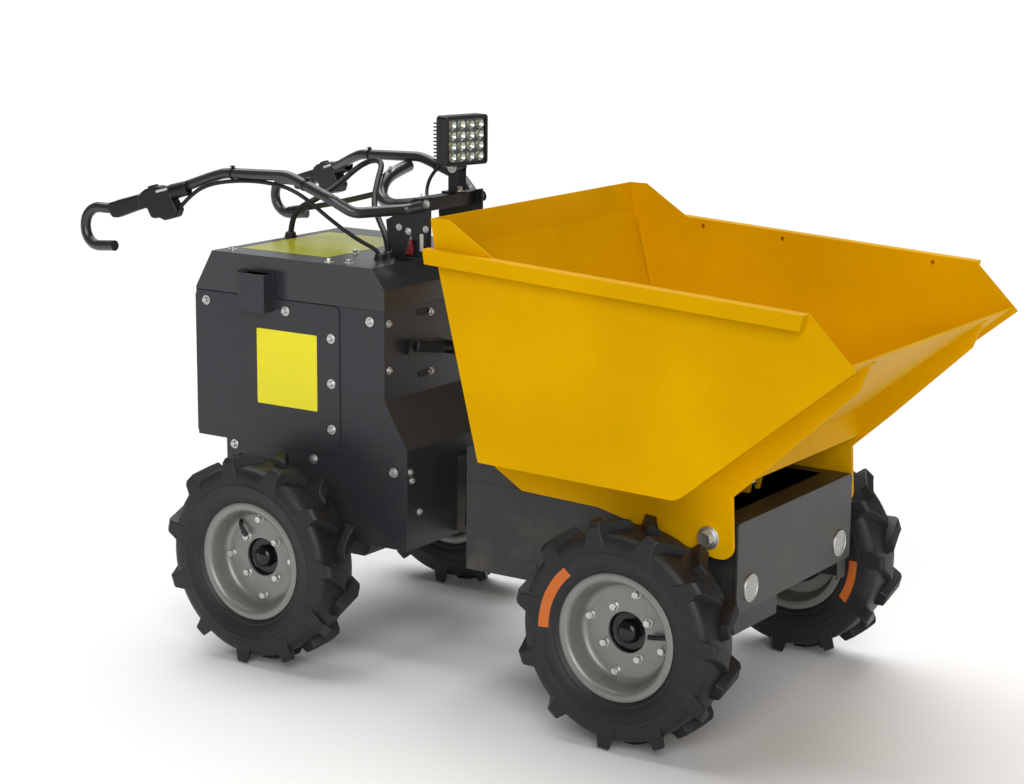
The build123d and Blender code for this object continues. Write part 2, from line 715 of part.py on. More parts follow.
def under_shell(x):
    """Height of the underside of the bucket's floor or of its sloping front."""
    low, high = shell_outer[2:4] if x < shell_outer[3][0] else shell_outer[3:5]
    return low[1] + (x - low[0]) * (high[1] - low[1]) / (high[0] - low[0])


rib_front_x = 838
with BuildPart() as bucket_ribs:
    for side in (-1, 1):
        with BuildSketch(side_plane(side * RIB_Y)):
            with BuildLine():
                Polyline(
                    shell_outer[2], *RIB_POINTS, (rib_front_x, under_shell(rib_front_x)),
                    shell_outer[3], close=True,
                )
            make_face()
            with Locations((TIP_X, TIP_Z)):
                Circle(TIP_PIN_R + TIP_FIT, mode=Mode.SUBTRACT)
        extrude(amount=-side * RIB_T)
save(bucket_ribs, "bucket_ribs")

# cross plates between the hinge plates, and the lugs that the cylinder pushes
LUG_GAP = EYE_W / 2 + 3
CROSS_T = 6
CROSS_PLATES = [(597, 420), (215, 402)]     # rear face, lower edge
with BuildPart() as bucket_cross:
    for x, low_z in CROSS_PLATES:
        with BuildSketch(side_plane(RIB_Y)):
            with BuildLine():
                Polyline(
                    (x, under_shell(x)), (x, low_z), (x + CROSS_T, low_z),
                    (x + CROSS_T, under_shell(x + CROSS_T)), close=True,
                )
            make_face()
        extrude(amount=2 * RIB_Y)
    for side in (-1, 1):
        with BuildSketch(side_plane(side * LUG_GAP)):
            with BuildLine():
                lug_rear, lug_front = CYL_EYE[0] - 32, CYL_EYE[0] + 32
                Polyline(
                    (lug_rear, under_shell(lug_rear)), (CYL_EYE[0] - 18, CYL_EYE[1] - 16),
                    (CYL_EYE[0] + 18, CYL_EYE[1] - 16), (lug_front, under_shell(lug_front)),
                    close=True,
                )
            make_face()
        extrude(amount=-side * 8)
save(bucket_cross, "bucket_cross")

with BuildPart() as tip_pins:
    for side in (-1, 1):
        with BuildSketch(side_plane(side * (CHASSIS_HALF_W + 1))):
            with Locations((TIP_X, TIP_Z)):
                Circle(TIP_PIN_R)
        extrude(amount=-side * (RIB_Y + RIB_T + 1 - CHASSIS_HALF_W))
        with BuildSketch(side_plane(side * (RIB_Y + RIB_T + 0.3))):
            with Locations((TIP_X, TIP_Z)):
                Circle(20)
        extrude(amount=-side * 4)
        with BuildSketch(side_plane(side * (RIB_Y + RIB_T + 4.3))):
            with Locations((TIP_X, TIP_Z)):
                RegularPolygon(16, 6)
        extrude(amount=-side * 10)
save(tip_pins, "tip_pins")

# ---------------------------------------------------------------- tipping cylinder
cyl_run = (CYL_EYE[0] - CYL_BASE[0], CYL_EYE[1] - CYL_BASE[1])
cyl_length = hypot(*cyl_run)
cyl_dir = Vector(cyl_run[0] / cyl_length, 0, cyl_run[1] / cyl_length)
cyl_plane = Plane(origin=(CYL_BASE[0], 0, CYL_BASE[1]), x_dir=(0, 1, 0), z_dir=cyl_dir)
with BuildPart() as cylinder_barrel:
    with BuildSketch(cyl_plane):
        Rectangle(EYE_W, 2 * EYE_R - 6)
    extrude(amount=CYL_NECK)
    with BuildSketch(cyl_plane.offset(CYL_NECK)):
        Circle(CYL_BARREL_R)
    extrude(amount=CYL_BARREL_L)
    with BuildSketch(side_plane(EYE_W / 2)):
        with Locations(CYL_BASE):
            Circle(EYE_R)
    extrude(amount=EYE_W)
    with BuildSketch(side_plane(EYE_W / 2 + 9)):
        with Locations(CYL_BASE):
            Circle(CYL_PIN_R)
    extrude(amount=EYE_W + 18)
    with BuildSketch(cyl_plane.offset(60)):
        Circle(CYL_ROD_R + TIP_FIT)
    extrude(amount=CYL_BARREL_L, mode=Mode.SUBTRACT)
save(cylinder_barrel, "cylinder_barrel")

with BuildPart() as cylinder_rod:
    with BuildSketch(cyl_plane.offset(80)):
        Circle(CYL_ROD_R)
    extrude(amount=cyl_length - 80 - EYE_R + 6)
    for radius, width in ((EYE_R, EYE_W), (CYL_PIN_R, 2 * LUG_GAP - 1)):
        with BuildSketch(side_plane(width / 2)):
            with Locations(CYL_EYE):
                Circle(radius)
        extrude(amount=width)
save(cylinder_rod, "cylinder_rod")

# ---------------------------------------------------------------- handlebars
BAR_ROUTE = [
    # x, distance from the middle, z
    (-160, BRACKET_Y, 877),
    (-236, BRACKET_Y, 857),
    (-300, 120, 852),
    (-334, 165, 886),
    (-375, 205, 919),
    (-440, 215, 929),
    (-550, 219, 923),
    (-584, 230, 911),
    (-671, 266, 876),
    (-783, 290, 843),
    (-849, 294, 844),
    (-847, 298, 765),
    (-765, 302, 772),
]
BAR_BENDS = [60, 60, 60, 60, 60, 80, 60, 90, 60, 36, 36]


def bar(side, mode=Mode.ADD):
    """One handlebar, added to or cut from the open part."""
    tube([(x, side * y, z) for x, y, z in BAR_ROUTE], BAR_R, BAR_BENDS, mode=mode)


for hand, side in (("left", 1), ("right", -1)):
    with BuildPart() as handlebar:
        bar(side)
    save(handlebar, f"handlebar_{hand}")


def bar_plane(side, run, along, rise=0):
    """Plane square to one run of a handlebar, a distance along it."""
    start, end = Vector(BAR_ROUTE[run]), Vector(BAR_ROUTE[run + 1])
    step = (end - start).normalized()
    point = start + step * along
    return Plane(
        origin=(point.X, side * point.Y, point.Z + rise),
        x_dir=(-side * step.Y, step.X, 0),
        z_dir=(step.X, side * step.Y, step.Z),
    )


GRIP_RUN = 8
GRIP_START = 10
GRIP_L = 100
with BuildPart() as grips:
    for side in (-1, 1):
        with BuildSketch(bar_plane(side, GRIP_RUN, GRIP_START)):
            RegularPolygon(GRIP_R, BAR_SIDES, major_radius=False)
        extrude(amount=GRIP_L)
        bar(side, Mode.SUBTRACT)
save(grips, "grips")

# side views, x and z, of the moulded housing with its thumb switch and of the hand
# lever behind it; both hang round the bar
HOUSING_OUTLINE = [
    (-680, 868), (-680, 891), (-653, 902), (-645, 894), (-621, 890), (-603, 862),
    (-598, 851), (-609, 839), (-632, 833), (-640, 838), (-663, 834), (-680, 846),
]
LEVER_OUTLINE = [(-787, 848), (-783, 830), (-767, 826), (-682, 850), (-682, 874)]
GUARD_HALF_W = 16
guard_start, guard_end = Vector(BAR_ROUTE[GRIP_RUN]), Vector(BAR_ROUTE[GRIP_RUN + 1])
guards = {}
for name, outline in (("lever_housings", HOUSING_OUTLINE), ("hand_levers", LEVER_OUTLINE)):
    with BuildPart() as guard:
        for side in (-1, 1):
            ahead = Vector(guard_start.X - guard_end.X, side * (guard_start.Y - guard_end.Y), 0)
            beside = ahead.normalized().cross(Vector(0, 0, 1))
            middle = Vector(guard_start.X, side * guard_start.Y, 0)
            with BuildSketch(Plane(origin=middle, x_dir=ahead, z_dir=beside)):
                with BuildLine():
                    Polyline(*[(x - guard_start.X, z) for x, z in outline], close=True)
                make_face()
            extrude(amount=GUARD_HALF_W, both=True)
            bar(side, Mode.SUBTRACT)
            with BuildSketch(bar_plane(side, GRIP_RUN, GRIP_START)):
                RegularPolygon(GRIP_R, BAR_SIDES, major_radius=False)
            extrude(amount=GRIP_L + 10, mode=Mode.SUBTRACT)
    save(guard, name)
    guards[name] = guard

# ---------------------------------------------------------------- handlebar mount
BRACKET_T = 5
BRACKET_OUTLINE = [
    (-236, BODY_TOP_Z),
    (-252, 803),
    (-257, 842),
    (-209, 866),
    (-196, 885),
    (-152, 893),
    (-152, 780),
    (-200, BODY_TOP_Z),
]
with BuildPart() as handle_brackets:
    for side in (-1, 1):
        with BuildSketch(side_plane(side * (BRACKET_Y - BRACKET_T - BAR_R))):
            with BuildLine():
                Polyline(*BRACKET_OUTLINE, close=True)
            make_face()
            with BuildLine():
                Polyline((-213, BODY_TOP_Z + 6), (-199, 822), (-186, BODY_TOP_Z + 6), close=True)
            make_face(mode=Mode.SUBTRACT)
        extrude(amount=-side * BRACKET_T)
save(handle_brackets, "handle_brackets")

# channel across the brackets, open to the rear, that carries the work lamp
BEAM_X = -182
BEAM_D = 30
BEAM_LOW_Z = 863
BEAM_TOP_Z = 888
bracket_in = BRACKET_Y - BRACKET_T - BAR_R
with BuildPart() as cross_beam:
    with BuildSketch(side_plane(bracket_in)):
        with Locations((BEAM_X, (BEAM_LOW_Z + BEAM_TOP_Z) / 2)):
            Rectangle(BEAM_D, BEAM_TOP_Z - BEAM_LOW_Z)
        with Locations((BEAM_X - 3, (BEAM_LOW_Z + BEAM_TOP_Z) / 2)):
            Rectangle(BEAM_D, BEAM_TOP_Z - BEAM_LOW_Z - 6, mode=Mode.SUBTRACT)
    extrude(amount=2 * bracket_in)
save(cross_beam, "cross_beam")

# work lamp on a fork, turned towards the right
LAMP_X = -183
LAMP_MOUNT_Y = 30
LAMP_TURN = -16
LAMP_FACE = 104
LAMP_FACE_H = 96
LAMP_D = 44
LAMP_MID_Z = 993
lamp_plane = Plane(
    origin=(LAMP_X, LAMP_MOUNT_Y, LAMP_MID_Z), x_dir=(-sin(radians(LAMP_TURN)), cos(radians(LAMP_TURN)), 0),
    z_dir=(cos(radians(LAMP_TURN)), sin(radians(LAMP_TURN)), 0),
)
with BuildPart() as work_lamp:
    with BuildSketch(lamp_plane.offset(-6)):
        RectangleRounded(LAMP_FACE, LAMP_FACE_H, 6)
    extrude(amount=LAMP_D)
    with BuildSketch(lamp_plane.offset(LAMP_D - 6 - 5)):
        RectangleRounded(LAMP_FACE - 10, LAMP_FACE_H - 10, 4)
    extrude(amount=5, mode=Mode.SUBTRACT)
save(work_lamp, "work_lamp")

with BuildPart() as lamp_lens:
    with BuildSketch(lamp_plane.offset(LAMP_D - 6 - 5)):
        RectangleRounded(LAMP_FACE - 10, LAMP_FACE_H - 10, 4)
    extrude(amount=3.5)
save(lamp_lens, "lamp_lens")

with BuildPart() as lamp_bracket:
    with BuildSketch(Plane.XY.offset(BEAM_TOP_Z)):
        with Locations((LAMP_X, LAMP_MOUNT_Y)):
            Rectangle(28, 40)
    extrude(amount=4)
    with BuildSketch(Plane.XY.offset(BEAM_TOP_Z)):
        with Locations((LAMP_X + 8, LAMP_MOUNT_Y)):
            Rectangle(10, 12)
    extrude(amount=LAMP_MID_Z - LAMP_FACE_H / 2 - BEAM_TOP_Z)
save(lamp_bracket, "lamp_bracket")

# stop button
HANDLE_SIDES = 8
STOP_PLACE = (-228, -48)
STOP_STEPS = [
    # radius, lower and upper height over the hood: collar, neck and mushroom head
    (16, 0, 14), (9, 14, 22), (19, 22, 34),
]
with BuildPart() as stop_button:
    for radius, low, high in STOP_STEPS:
        with BuildSketch(Plane.XY.offset(BODY_TOP_Z + low)):
            with Locations(STOP_PLACE):
                RegularPolygon(radius, 2 * HANDLE_SIDES)
        extrude(amount=high - low)
save(stop_button, "stop_button")

# ---------------------------------------------------------------- brace and cables
# curved brace from under the left handlebar to the cross beam
BRACE_R = 9
BRACE_ROUTE = [
    (-436, 204, 920), (-410, 150, 899), (-393, 100, 874), (-354, 60, 856),
    (-290, 18, 856), (BEAM_X - BEAM_D / 2, -30, 873),
]
with BuildPart() as handle_brace:
    tube(BRACE_ROUTE, BRACE_R, bend_radii(BRACE_ROUTE))
    bar(1, Mode.SUBTRACT)
    add(cross_beam.part, mode=Mode.SUBTRACT)
save(handle_brace, "handle_brace")

# travel lever from the brace to the rear, with a black knob
LEVER_R = 6
LEVER_KNOB_R = 9
LEVER_KNOB_END = (-626, 60, 813)
LEVER_ROUTE = [(-396, 98, 868), (-457, 90, 851), (-525, 78, 834), (-594, 66, 820)]
with BuildPart() as centre_lever:
    tube(LEVER_ROUTE, LEVER_R, bend_radii(LEVER_ROUTE), HANDLE_SIDES)
    tube([LEVER_ROUTE[-1], LEVER_KNOB_END], LEVER_KNOB_R, [], HANDLE_SIDES)
    add(handle_brace.part, mode=Mode.SUBTRACT)
save(centre_lever, "centre_lever")

# cables held on the handlebars; each ends upright on the hood
CABLE_SIDES = 6
CABLES = [
    # name, radius, route
    ("control_cable_right", 4, [
        (-605, -262, 856), (-582, -242, 884), (-537, -222, 901), (-471, -214, 902),
        (-411, -205, 893), (-369, -200, 883), (-329, -160, 838), (-289, -128, 801),
        (-262, -106, 784), (-259, -104, BODY_TOP_Z - 1),
    ]),
    ("hose_loop", 6, [
        (-588, 28, BODY_TOP_Z - 1), (-585, 27, 802), (-560, 28, 832), (-530, 50, 850),
        (-519, 100, 872), (-500, 138, 906), (-466, 148, 924), (-424, 125, 922),
        (-396, 70, 894), (-364, 12, 852), (-324, -20, 825), (-274, -62, 800),
        (-266, -68, BODY_TOP_Z - 1),
    ]),
    ("lamp_cable", 3.5, [
        (-205, 46, 950), (-229, 40, 932), (-241, 26, 905), (-226, 0, 872),
        (BEAM_X - BEAM_D / 2, -8, 870),
    ]),
]
for name, radius, route in CABLES:
    with BuildPart() as cable:
        tube(route, radius, bend_radii(route), CABLE_SIDES)
        for holder in (hood, guards["lever_housings"], work_lamp):
            add(holder.part, mode=Mode.SUBTRACT)
    save(cable, name)
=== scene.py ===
"""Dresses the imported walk-behind articulated dumper: modelled pieces, finishes and a stage.

The pieces fit the CAD frame, which is in metres: +X forward, +Y left, +Z up, with
the origin on the ground.  Sizes in the tables below are in millimetres.
"""

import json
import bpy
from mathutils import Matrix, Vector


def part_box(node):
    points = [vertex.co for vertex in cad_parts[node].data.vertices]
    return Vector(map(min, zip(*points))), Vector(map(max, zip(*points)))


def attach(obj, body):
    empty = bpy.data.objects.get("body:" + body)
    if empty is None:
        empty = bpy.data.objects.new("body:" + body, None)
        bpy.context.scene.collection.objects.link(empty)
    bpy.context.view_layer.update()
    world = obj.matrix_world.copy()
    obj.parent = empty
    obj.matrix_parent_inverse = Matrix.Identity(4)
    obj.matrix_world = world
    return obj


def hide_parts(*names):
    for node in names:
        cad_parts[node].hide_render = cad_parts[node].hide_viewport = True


bl_info = {
    "name": "Site Dumper Dressing",
    "version": (1, 0, 0),
    "blender": (4, 5, 0),
    "location": "3D View > Sidebar > Dumper",
    "description": "Models and finishes a walk-behind articulated dumper on its CAD frame",
    "category": "Add Mesh",
}

from math import cos, pi, radians, sin, sqrt, tan

import bpy
from mathutils import Matrix, Vector

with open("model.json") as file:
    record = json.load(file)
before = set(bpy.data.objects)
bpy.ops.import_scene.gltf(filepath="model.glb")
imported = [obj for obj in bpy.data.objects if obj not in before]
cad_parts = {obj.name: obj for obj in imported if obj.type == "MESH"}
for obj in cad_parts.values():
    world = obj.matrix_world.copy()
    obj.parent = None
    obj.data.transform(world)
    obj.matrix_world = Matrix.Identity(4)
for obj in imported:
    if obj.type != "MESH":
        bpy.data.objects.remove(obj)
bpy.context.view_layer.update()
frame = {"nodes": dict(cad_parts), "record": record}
MM = 0.001


def linear(red, green, blue):
    """The scene-linear value of an sRGB colour given in 0 to 255."""
    def channel(value):
        value /= 255
        return value / 12.92 if value <= 0.04045 else ((value + 0.055) / 1.055) ** 2.4
    return channel(red), channel(green), channel(blue)


def box_mm(node):
    """Lowest and highest corner of a CAD node, in millimetres."""
    low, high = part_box(node)
    return low / MM, high / MM


# ---------------------------------------------------------------- places, in millimetres
WHEELS = [
    # name, side, angles of the inner ring of bolts, of the outer ring and of the valve
    ("front_left", 1, 30, 75, 4),
    ("front_right", -1, 30, 75, 4),
    ("rear_left", 1, 45, 3, 128),
    ("rear_right", -1, 45, 3, 128),
]
BODY_SIDE_Y = 210         # outer face of a side panel
COVER_T = 2.5             # thickness, front edge and lower edge of an access cover
COVER_FRONT_X = -277
COVER_LOW_Z = 392
HOOD_Z = 767              # top of the hood
PANEL_X = -171            # upright face of the front panel
BUCKET_SIDE_Y = 343       # outer face of a side sheet
HINGE_FACES = (239, 231)  # outer and inner face of a hinge plate
TIP = Vector((547, 0, 372))  # on the axis that the bucket tips about
FRONT_FACE_X = 597        # front face of the front plate
CHASSIS_FACES = (214, 220)  # inner and outer face of a side plate
LOWER_PIN = (170, 252)    # the cylinder's lower pin, x and z

# half of the tyre's section, from the bead over the sidewall to the middle of the tread
TYRE_SECTION = [
    # across, radius
    (37, 103), (37.6, 113), (40.5, 117.5), (44, 120), (44.8, 122.5), (44.4, 124.5),
    (48.2, 131), (51, 140), (52.6, 149), (53.6, 150), (53.6, 152), (52.8, 153.5),
    (52.6, 163), (51, 172), (47.5, 179.5), (42, 184), (34, 186.4), (18, 187.4), (0, 187.8),
]
LUGS = 22
TYRE_R = 205              # out to the lugs' tips
# section of the rim, from the hole in the disc round both flanges and back
RIM_SECTION = [
    # across from the disc's outer face, radius
    (0, 37.5), (0, 78), (0.9, 83), (3.6, 87), (9, 90.2), (19, 91.6), (26, 93.6),
    (34, 96.8), (38, 99.4), (40.2, 103), (41, 108), (40.6, 112.4), (39.4, 114.6),
    (37.8, 113.6), (37.2, 109), (36, 103), (30, 102.4), (-30, 102.4), (-36, 103),
    (-37.2, 109), (-37.8, 113.6), (-39.4, 114.6), (-40.6, 112.4), (-41, 108),
    (-40.2, 103), (-38, 99.4), (-30, 96), (-12, 92.4), (-6.4, 88), (-5, 82), (-5, 37.5),
]
HUB_SECTION = [
    # across from the disc's outer face, radius: flange behind the disc, well and domed cap
    (-15, 0), (-15, 64), (-13.5, 66), (-6, 66), (-5, 65), (-5, 36.5), (-9, 35.5), (-11, 33),
    (-11, 22), (-9.5, 20.6), (-2, 20), (1.6, 18.6), (4.6, 15), (6.4, 9.6), (7, 4), (7, 0),
]

# bolts on the body's right side and, mirrored, on its left side
SIDE_BOLTS = [
    # x, z
    (-608, 667), (-407, 665), (-205, 665), (-543, 383), (-343, 380), (-150, 380),
]
COVER_BOLTS = [(-296, 623), (-296, 535), (-296, 445)]
HOOD_BOLTS = [
    # x, y
    (-313, -196), (-275, -183), (-343, -75), (-568, -177), (-560, 171), (-313, 196),
]
FRONT_PANEL_BOLTS = [
    # y, z on the upright face
    (-197, 663), (-61, 667), (-196, 573), (-61, 551), (-81, 489), (-163, 464), (-98, 423),
    (60, 667), (197, 663), (196, 573), (81, 489), (163, 464),
]
LOW_PANEL_BOLTS = [(-199, 383), (-194, 366), (-170, 300), (194, 366), (170, 300)]
PANEL_SLOTS = [(-87, 671), (-81, 550), (87, 671)]

# handlebar: control points and bend radii; the left one mirrors the right one
BAR_ROUTE = [
    (-160, 100, 877), (-194, 102, 868), (-252, 198, 866), (-292, 216, 892),
    (-394, 215, 928), (-550, 219, 923), (-584, 230, 911), (-671, 266, 876),
    (-783, 290, 843), (-849, 294, 844), (-847, 298, 765), (-765, 302, 772),
]
BAR_BENDS = [28, 36, 50, 80, 80, 60, 90, 60, 36, 36]
BAR_R = 10.5
GRIP_RUN = 7              # the straight run that carries the grip, and where it starts
GRIP_START = 10
GRIP_L = 100
TIES = [(3, 4, 0.6), (5, 4, 0.14)]    # from and to which point of the bar, and how far along
BRACE_ROUTE = [
    (-424, 213, 908), (-420, 160, 900), (-416, 118, 886), (-406, 90, 858), (-360, 62, 846),
    (-290, 18, 856), (-197, -30, 873),
]
LEVER_ROUTE = [(-396, 98, 868), (-457, 90, 851), (-525, 78, 834), (-594, 66, 820)]
LEVER_END = (-626, 60, 813)
CABLES = [
    # node, radius, control points
    ("control_cable_right", 4, [
        (-632, -259, 852), (-608, -250, 882), (-570, -236, 903), (-510, -222, 912),
        (-440, -218, 913), (-376, -210, 900), (-329, -160, 838), (-289, -128, 801),
        (-262, -106, 784), (-259, -104, 766),
    ]),
    ("hose_loop", 6, [
        (-588, 28, 766), (-585, 27, 802), (-560, 28, 832), (-530, 50, 850),
        (-519, 100, 872), (-500, 138, 906), (-466, 148, 924), (-424, 125, 922),
        (-396, 70, 894), (-364, 12, 852), (-324, -20, 825), (-274, -62, 800),
        (-266, -68, 766),
    ]),
    ("lamp_cable", 3.5, [
        (-205, 46, 950), (-229, 40, 932), (-241, 26, 905), (-226, 0, 872), (-197, -8, 870),
    ]),
]
# work lamp: middle of its back, how it is turned, and its size
LAMP_PLACE = (-183, 30, 993)
LAMP_TURN = -16
LAMP_FACE = (104, 96)
LAMP_D = 44
LAMP_CELLS = 4            # lenses along each edge

BODY_OF = {
    node: body
    for body, nodes in frame["record"]["behaviour"]["bodies"].items() for node in nodes
}


# ---------------------------------------------------------------- settings
def colour(name, description, red, green, blue):
    return bpy.props.FloatVectorProperty(
        name=name, description=description, subtype="COLOR", size=3, min=0, max=1,
        default=linear(red, green, blue),
    )


def length(name, description, default, largest):
    return bpy.props.FloatProperty(
        name=name, description=description, subtype="DISTANCE", unit="LENGTH",
        default=default * MM, min=0, max=largest * MM,
    )


class DumperColours(bpy.types.PropertyGroup):
    """Colours of the machine's finishes."""
    bucket: colour("Bucket", "Powder coat of the bucket", 217, 163, 0)
    body: colour("Body", "Powder coat of the body's sheets", 42, 44, 48)
    chassis: colour("Chassis", "Powder coat of the front chassis", 39, 39, 38)
    handle: colour("Handlebar", "Gloss coat of the handlebars", 40, 42, 44)
    rubber: colour("Rubber", "Tyres", 26, 26, 27)
    rim: colour("Rim", "Silver paint of the rims", 134, 136, 130)
    black: colour("Black", "Plastic and black painted parts", 15, 15, 16)
    red: colour("Red", "Stop button and small red parts", 112, 10, 26)
    label: colour("Cover label", "Blank label on the access cover", 238, 226, 16)
    band: colour("Hood label", "Blank label on the hood", 168, 170, 22)
    sticker: colour("Tyre sticker", "Blank sticker on a sidewall", 198, 98, 26)


class DumperSizes(bpy.types.PropertyGroup):
    """Sizes of the details that are added to the frame."""
    sheet_edge: length("Sheet edge", "Rounding of a cut sheet's edge", 0.8, 3)
    casting_edge: length("Thick edge", "Rounding of thick plates and machined parts", 1.4, 5)
    lug_edge: length("Lug edge", "Rounding of a tyre lug", 2.2, 8)
    bolt_width: length("Bolt", "Width over the flats of a body bolt", 10, 20)
    wheel_bolt_width: length("Wheel bolt", "Width over the flats of a wheel bolt", 12.5, 24)
    weld: length("Weld", "Radius of a weld bead", 2.2, 6)
    label_t: length("Label", "Thickness of a label", 0.4, 2)


# ---------------------------------------------------------------- shader kit
class Socket:
    """A shader socket that can be reckoned with like a number."""

    def __init__(self, finish, link):
        self.finish, self.link = finish, link

    def reckon(self, operation, first, second):
        return self.finish.node("ShaderNodeMath", {"operation": operation}, {0: first, 1: second})

    def __add__(self, other):
        return self.reckon("ADD", self, other)

    def __rsub__(self, other):
        return self.reckon("SUBTRACT", other, self)

    def __mul__(self, other):
        return self.reckon("MULTIPLY", self, other)

    __radd__ = __add__
    __rmul__ = __mul__

    def ramp(self, low, high):
        """0 below one value, 1 above another, and smooth between them."""
        return self.finish.node(
            "ShaderNodeMapRange", {"interpolation_type": "SMOOTHSTEP"},
            {"Value": self, "From Min": low, "From Max": high},
        )


class Finish:
    """A procedural material on the piece's own Object coordinates."""

    def __init__(self, name, **constants):
        self.material = bpy.data.materials.new(name)
        self.material.use_nodes = True
        self.tree = self.material.node_tree
        self.tree.nodes.clear()
        self.shader = self.tree.nodes.new("ShaderNodeBsdfPrincipled")
        output = self.tree.nodes.new("ShaderNodeOutputMaterial")
        self.tree.links.new(self.shader.outputs[0], output.inputs[0])
        for socket, value in constants.items():
            self.shader.inputs[socket.replace("_", " ")].default_value = value
        self.place = self.node("ShaderNodeTexCoord", output="Object")
        self.height = self.node("ShaderNodeSeparateXYZ", inputs={0: self.place}, output="Z")

    def node(self, kind, settings=None, inputs=None, output=0):
        """Adds a node, its settings first, then the values or links of its sockets."""
        node = self.tree.nodes.new(kind)
        for name, value in (settings or {}).items():
            setattr(node, name, value)
        for name, value in (inputs or {}).items():
            if isinstance(value, Socket):
                self.tree.links.new(value.link, node.inputs[name])
            else:
                node.inputs[name].default_value = value
        return Socket(self, node.outputs[output])

    def noise(self, scale, detail=3, stretch=(1, 1, 1), roughness=0.55):
        place = self.node("ShaderNodeMapping", inputs={"Vector": self.place, "Scale": stretch})
        return self.node(
            "ShaderNodeTexNoise",
            inputs={"Vector": place, "Scale": scale, "Detail": detail, "Roughness": roughness},
        )

    def cells(self, scale):
        return self.node(
            "ShaderNodeTexVoronoi", inputs={"Vector": self.place, "Scale": scale},
            output="Distance",
        )

    def mix(self, factor, first, second):
        return self.node(
            "ShaderNodeMix", {"data_type": "RGBA"}, {0: factor, 6: first, 7: second}, 2)

    def feed(self, socket, value):
        self.tree.links.new(value.link, self.shader.inputs[socket])

    def bump(self, height, strength, distance):
        self.feed("Normal", self.node(
            "ShaderNodeBump",
            inputs={"Height": height, "Strength": strength, "Distance": distance * MM},
        ))


def shade(tint, factor):
    """A colour made lighter or darker, as a shader colour."""
    return (*(min(1, channel * factor) for channel in tint), 1)


def powder_coat(name, tint, roughness=0.4, dust=0.1, coat=0.15, peel=0.12, index=1.45,
                gleam=(1, 1, 1, 1)):
    """Powder coat: faint orange peel, cloudy tone, fine scuffs, and dust low down."""
    finish = Finish(name, Coat_Roughness=0.25, IOR=index, Specular_Tint=gleam)
    cloud, grain = finish.noise(3.2, 4), finish.noise(420, 2)
    scuffs = finish.noise(26, 6, (1, 1, 5), 0.7).ramp(0.66, 0.8)
    low_down = 1 - finish.height.ramp(0.1, 0.55)
    dirt = (cloud * low_down * finish.noise(14, 5).ramp(0.4, 0.75)) * dust * 4
    tone = finish.mix(cloud.ramp(0.3, 0.7), shade(tint, 0.92), shade(tint, 1.07))
    tone = finish.mix(scuffs * 0.12, tone, shade(tint, 1.7))
    tone = finish.mix(dirt, tone, (*linear(120, 112, 98), 1))
    finish.feed("Base Color", tone)
    finish.feed("Roughness", (
        grain * 0.08 + cloud * 0.1 + scuffs * 0.14 + dirt * 0.5 + (roughness - 0.09)))
    finish.shader.inputs["Coat Weight"].default_value = coat
    finish.bump(finish.noise(170, 2) * 0.8 + finish.noise(900, 1) * 0.2, peel, 0.3)
    return finish.material


def rubber(name, tint, dust=0.22):
    """Moulded rubber: cloudy, finely pored, with patches of dust."""
    finish = Finish(name, IOR=1.45)
    cloud, pores = finish.noise(9, 5), finish.noise(520, 3)
    dusty = finish.noise(20, 6, roughness=0.7).ramp(0.5, 0.8) * dust
    tone = finish.mix(cloud.ramp(0.35, 0.7), shade(tint, 0.8), shade(tint, 1.25))
    finish.feed("Base Color", finish.mix(dusty, tone, (*linear(74, 70, 64), 1)))
    finish.feed("Roughness", pores * 0.12 + dusty * 0.3 + cloud * 0.16 + 0.36)
    finish.bump(pores * 0.5 + finish.noise(90, 4) * 0.5, 0.32, 0.5)
    return finish.material


def metal(name, tint, roughness=0.3, brushed=(1, 1, 1), dirt=0.25):
    """Plated or machined metal with fine marks and a little grime."""
    finish = Finish(name, Metallic=1.0)
    marks, cloud = finish.noise(300, 4, brushed), finish.noise(40, 4)
    grime = finish.noise(75, 5).ramp(0.55, 0.8) * dirt
    tone = finish.mix(cloud.ramp(0.3, 0.7), shade(tint, 0.86), shade(tint, 1.08))
    finish.feed("Base Color", finish.mix(grime, tone, (*linear(70, 66, 60), 1)))
    finish.feed("Roughness", marks * 0.14 + grime * 0.5 + (roughness - 0.05))
    finish.bump(marks, 0.15, 0.15)
    return finish.material


def silver_paint(name, tint):
    """Metallic wheel paint with a fine flake and road dust."""
    finish = Finish(name, Metallic=0.55, Coat_Roughness=0.3)
    flake, cloud = finish.cells(2600), finish.noise(12, 4)
    dusty = finish.noise(30, 6).ramp(0.5, 0.8) * 0.35
    tone = finish.mix(flake.ramp(0.1, 0.6), shade(tint, 1.12), shade(tint, 0.9))
    finish.feed("Base Color", finish.mix(dusty, tone, (*linear(120, 114, 104), 1)))
    finish.feed("Roughness", cloud * 0.14 + dusty * 0.3 + 0.34)
    finish.shader.inputs["Coat Weight"].default_value = 0.2
    finish.bump(finish.noise(240, 2), 0.12, 0.3)
    return finish.material


def plastic(name, tint, roughness=0.42, grain=0.25):
    """Moulded plastic with a fine spark-eroded grain."""
    finish = Finish(name, IOR=1.46)
    cloud, skin = finish.noise(16, 3), finish.noise(780, 2)
    finish.feed("Base Color", finish.mix(cloud, shade(tint, 0.85), shade(tint, 1.2)))
    finish.feed("Roughness", skin * 0.1 + cloud * 0.1 + (roughness - 0.1))
    finish.bump(skin, grain, 0.2)
    return finish.material


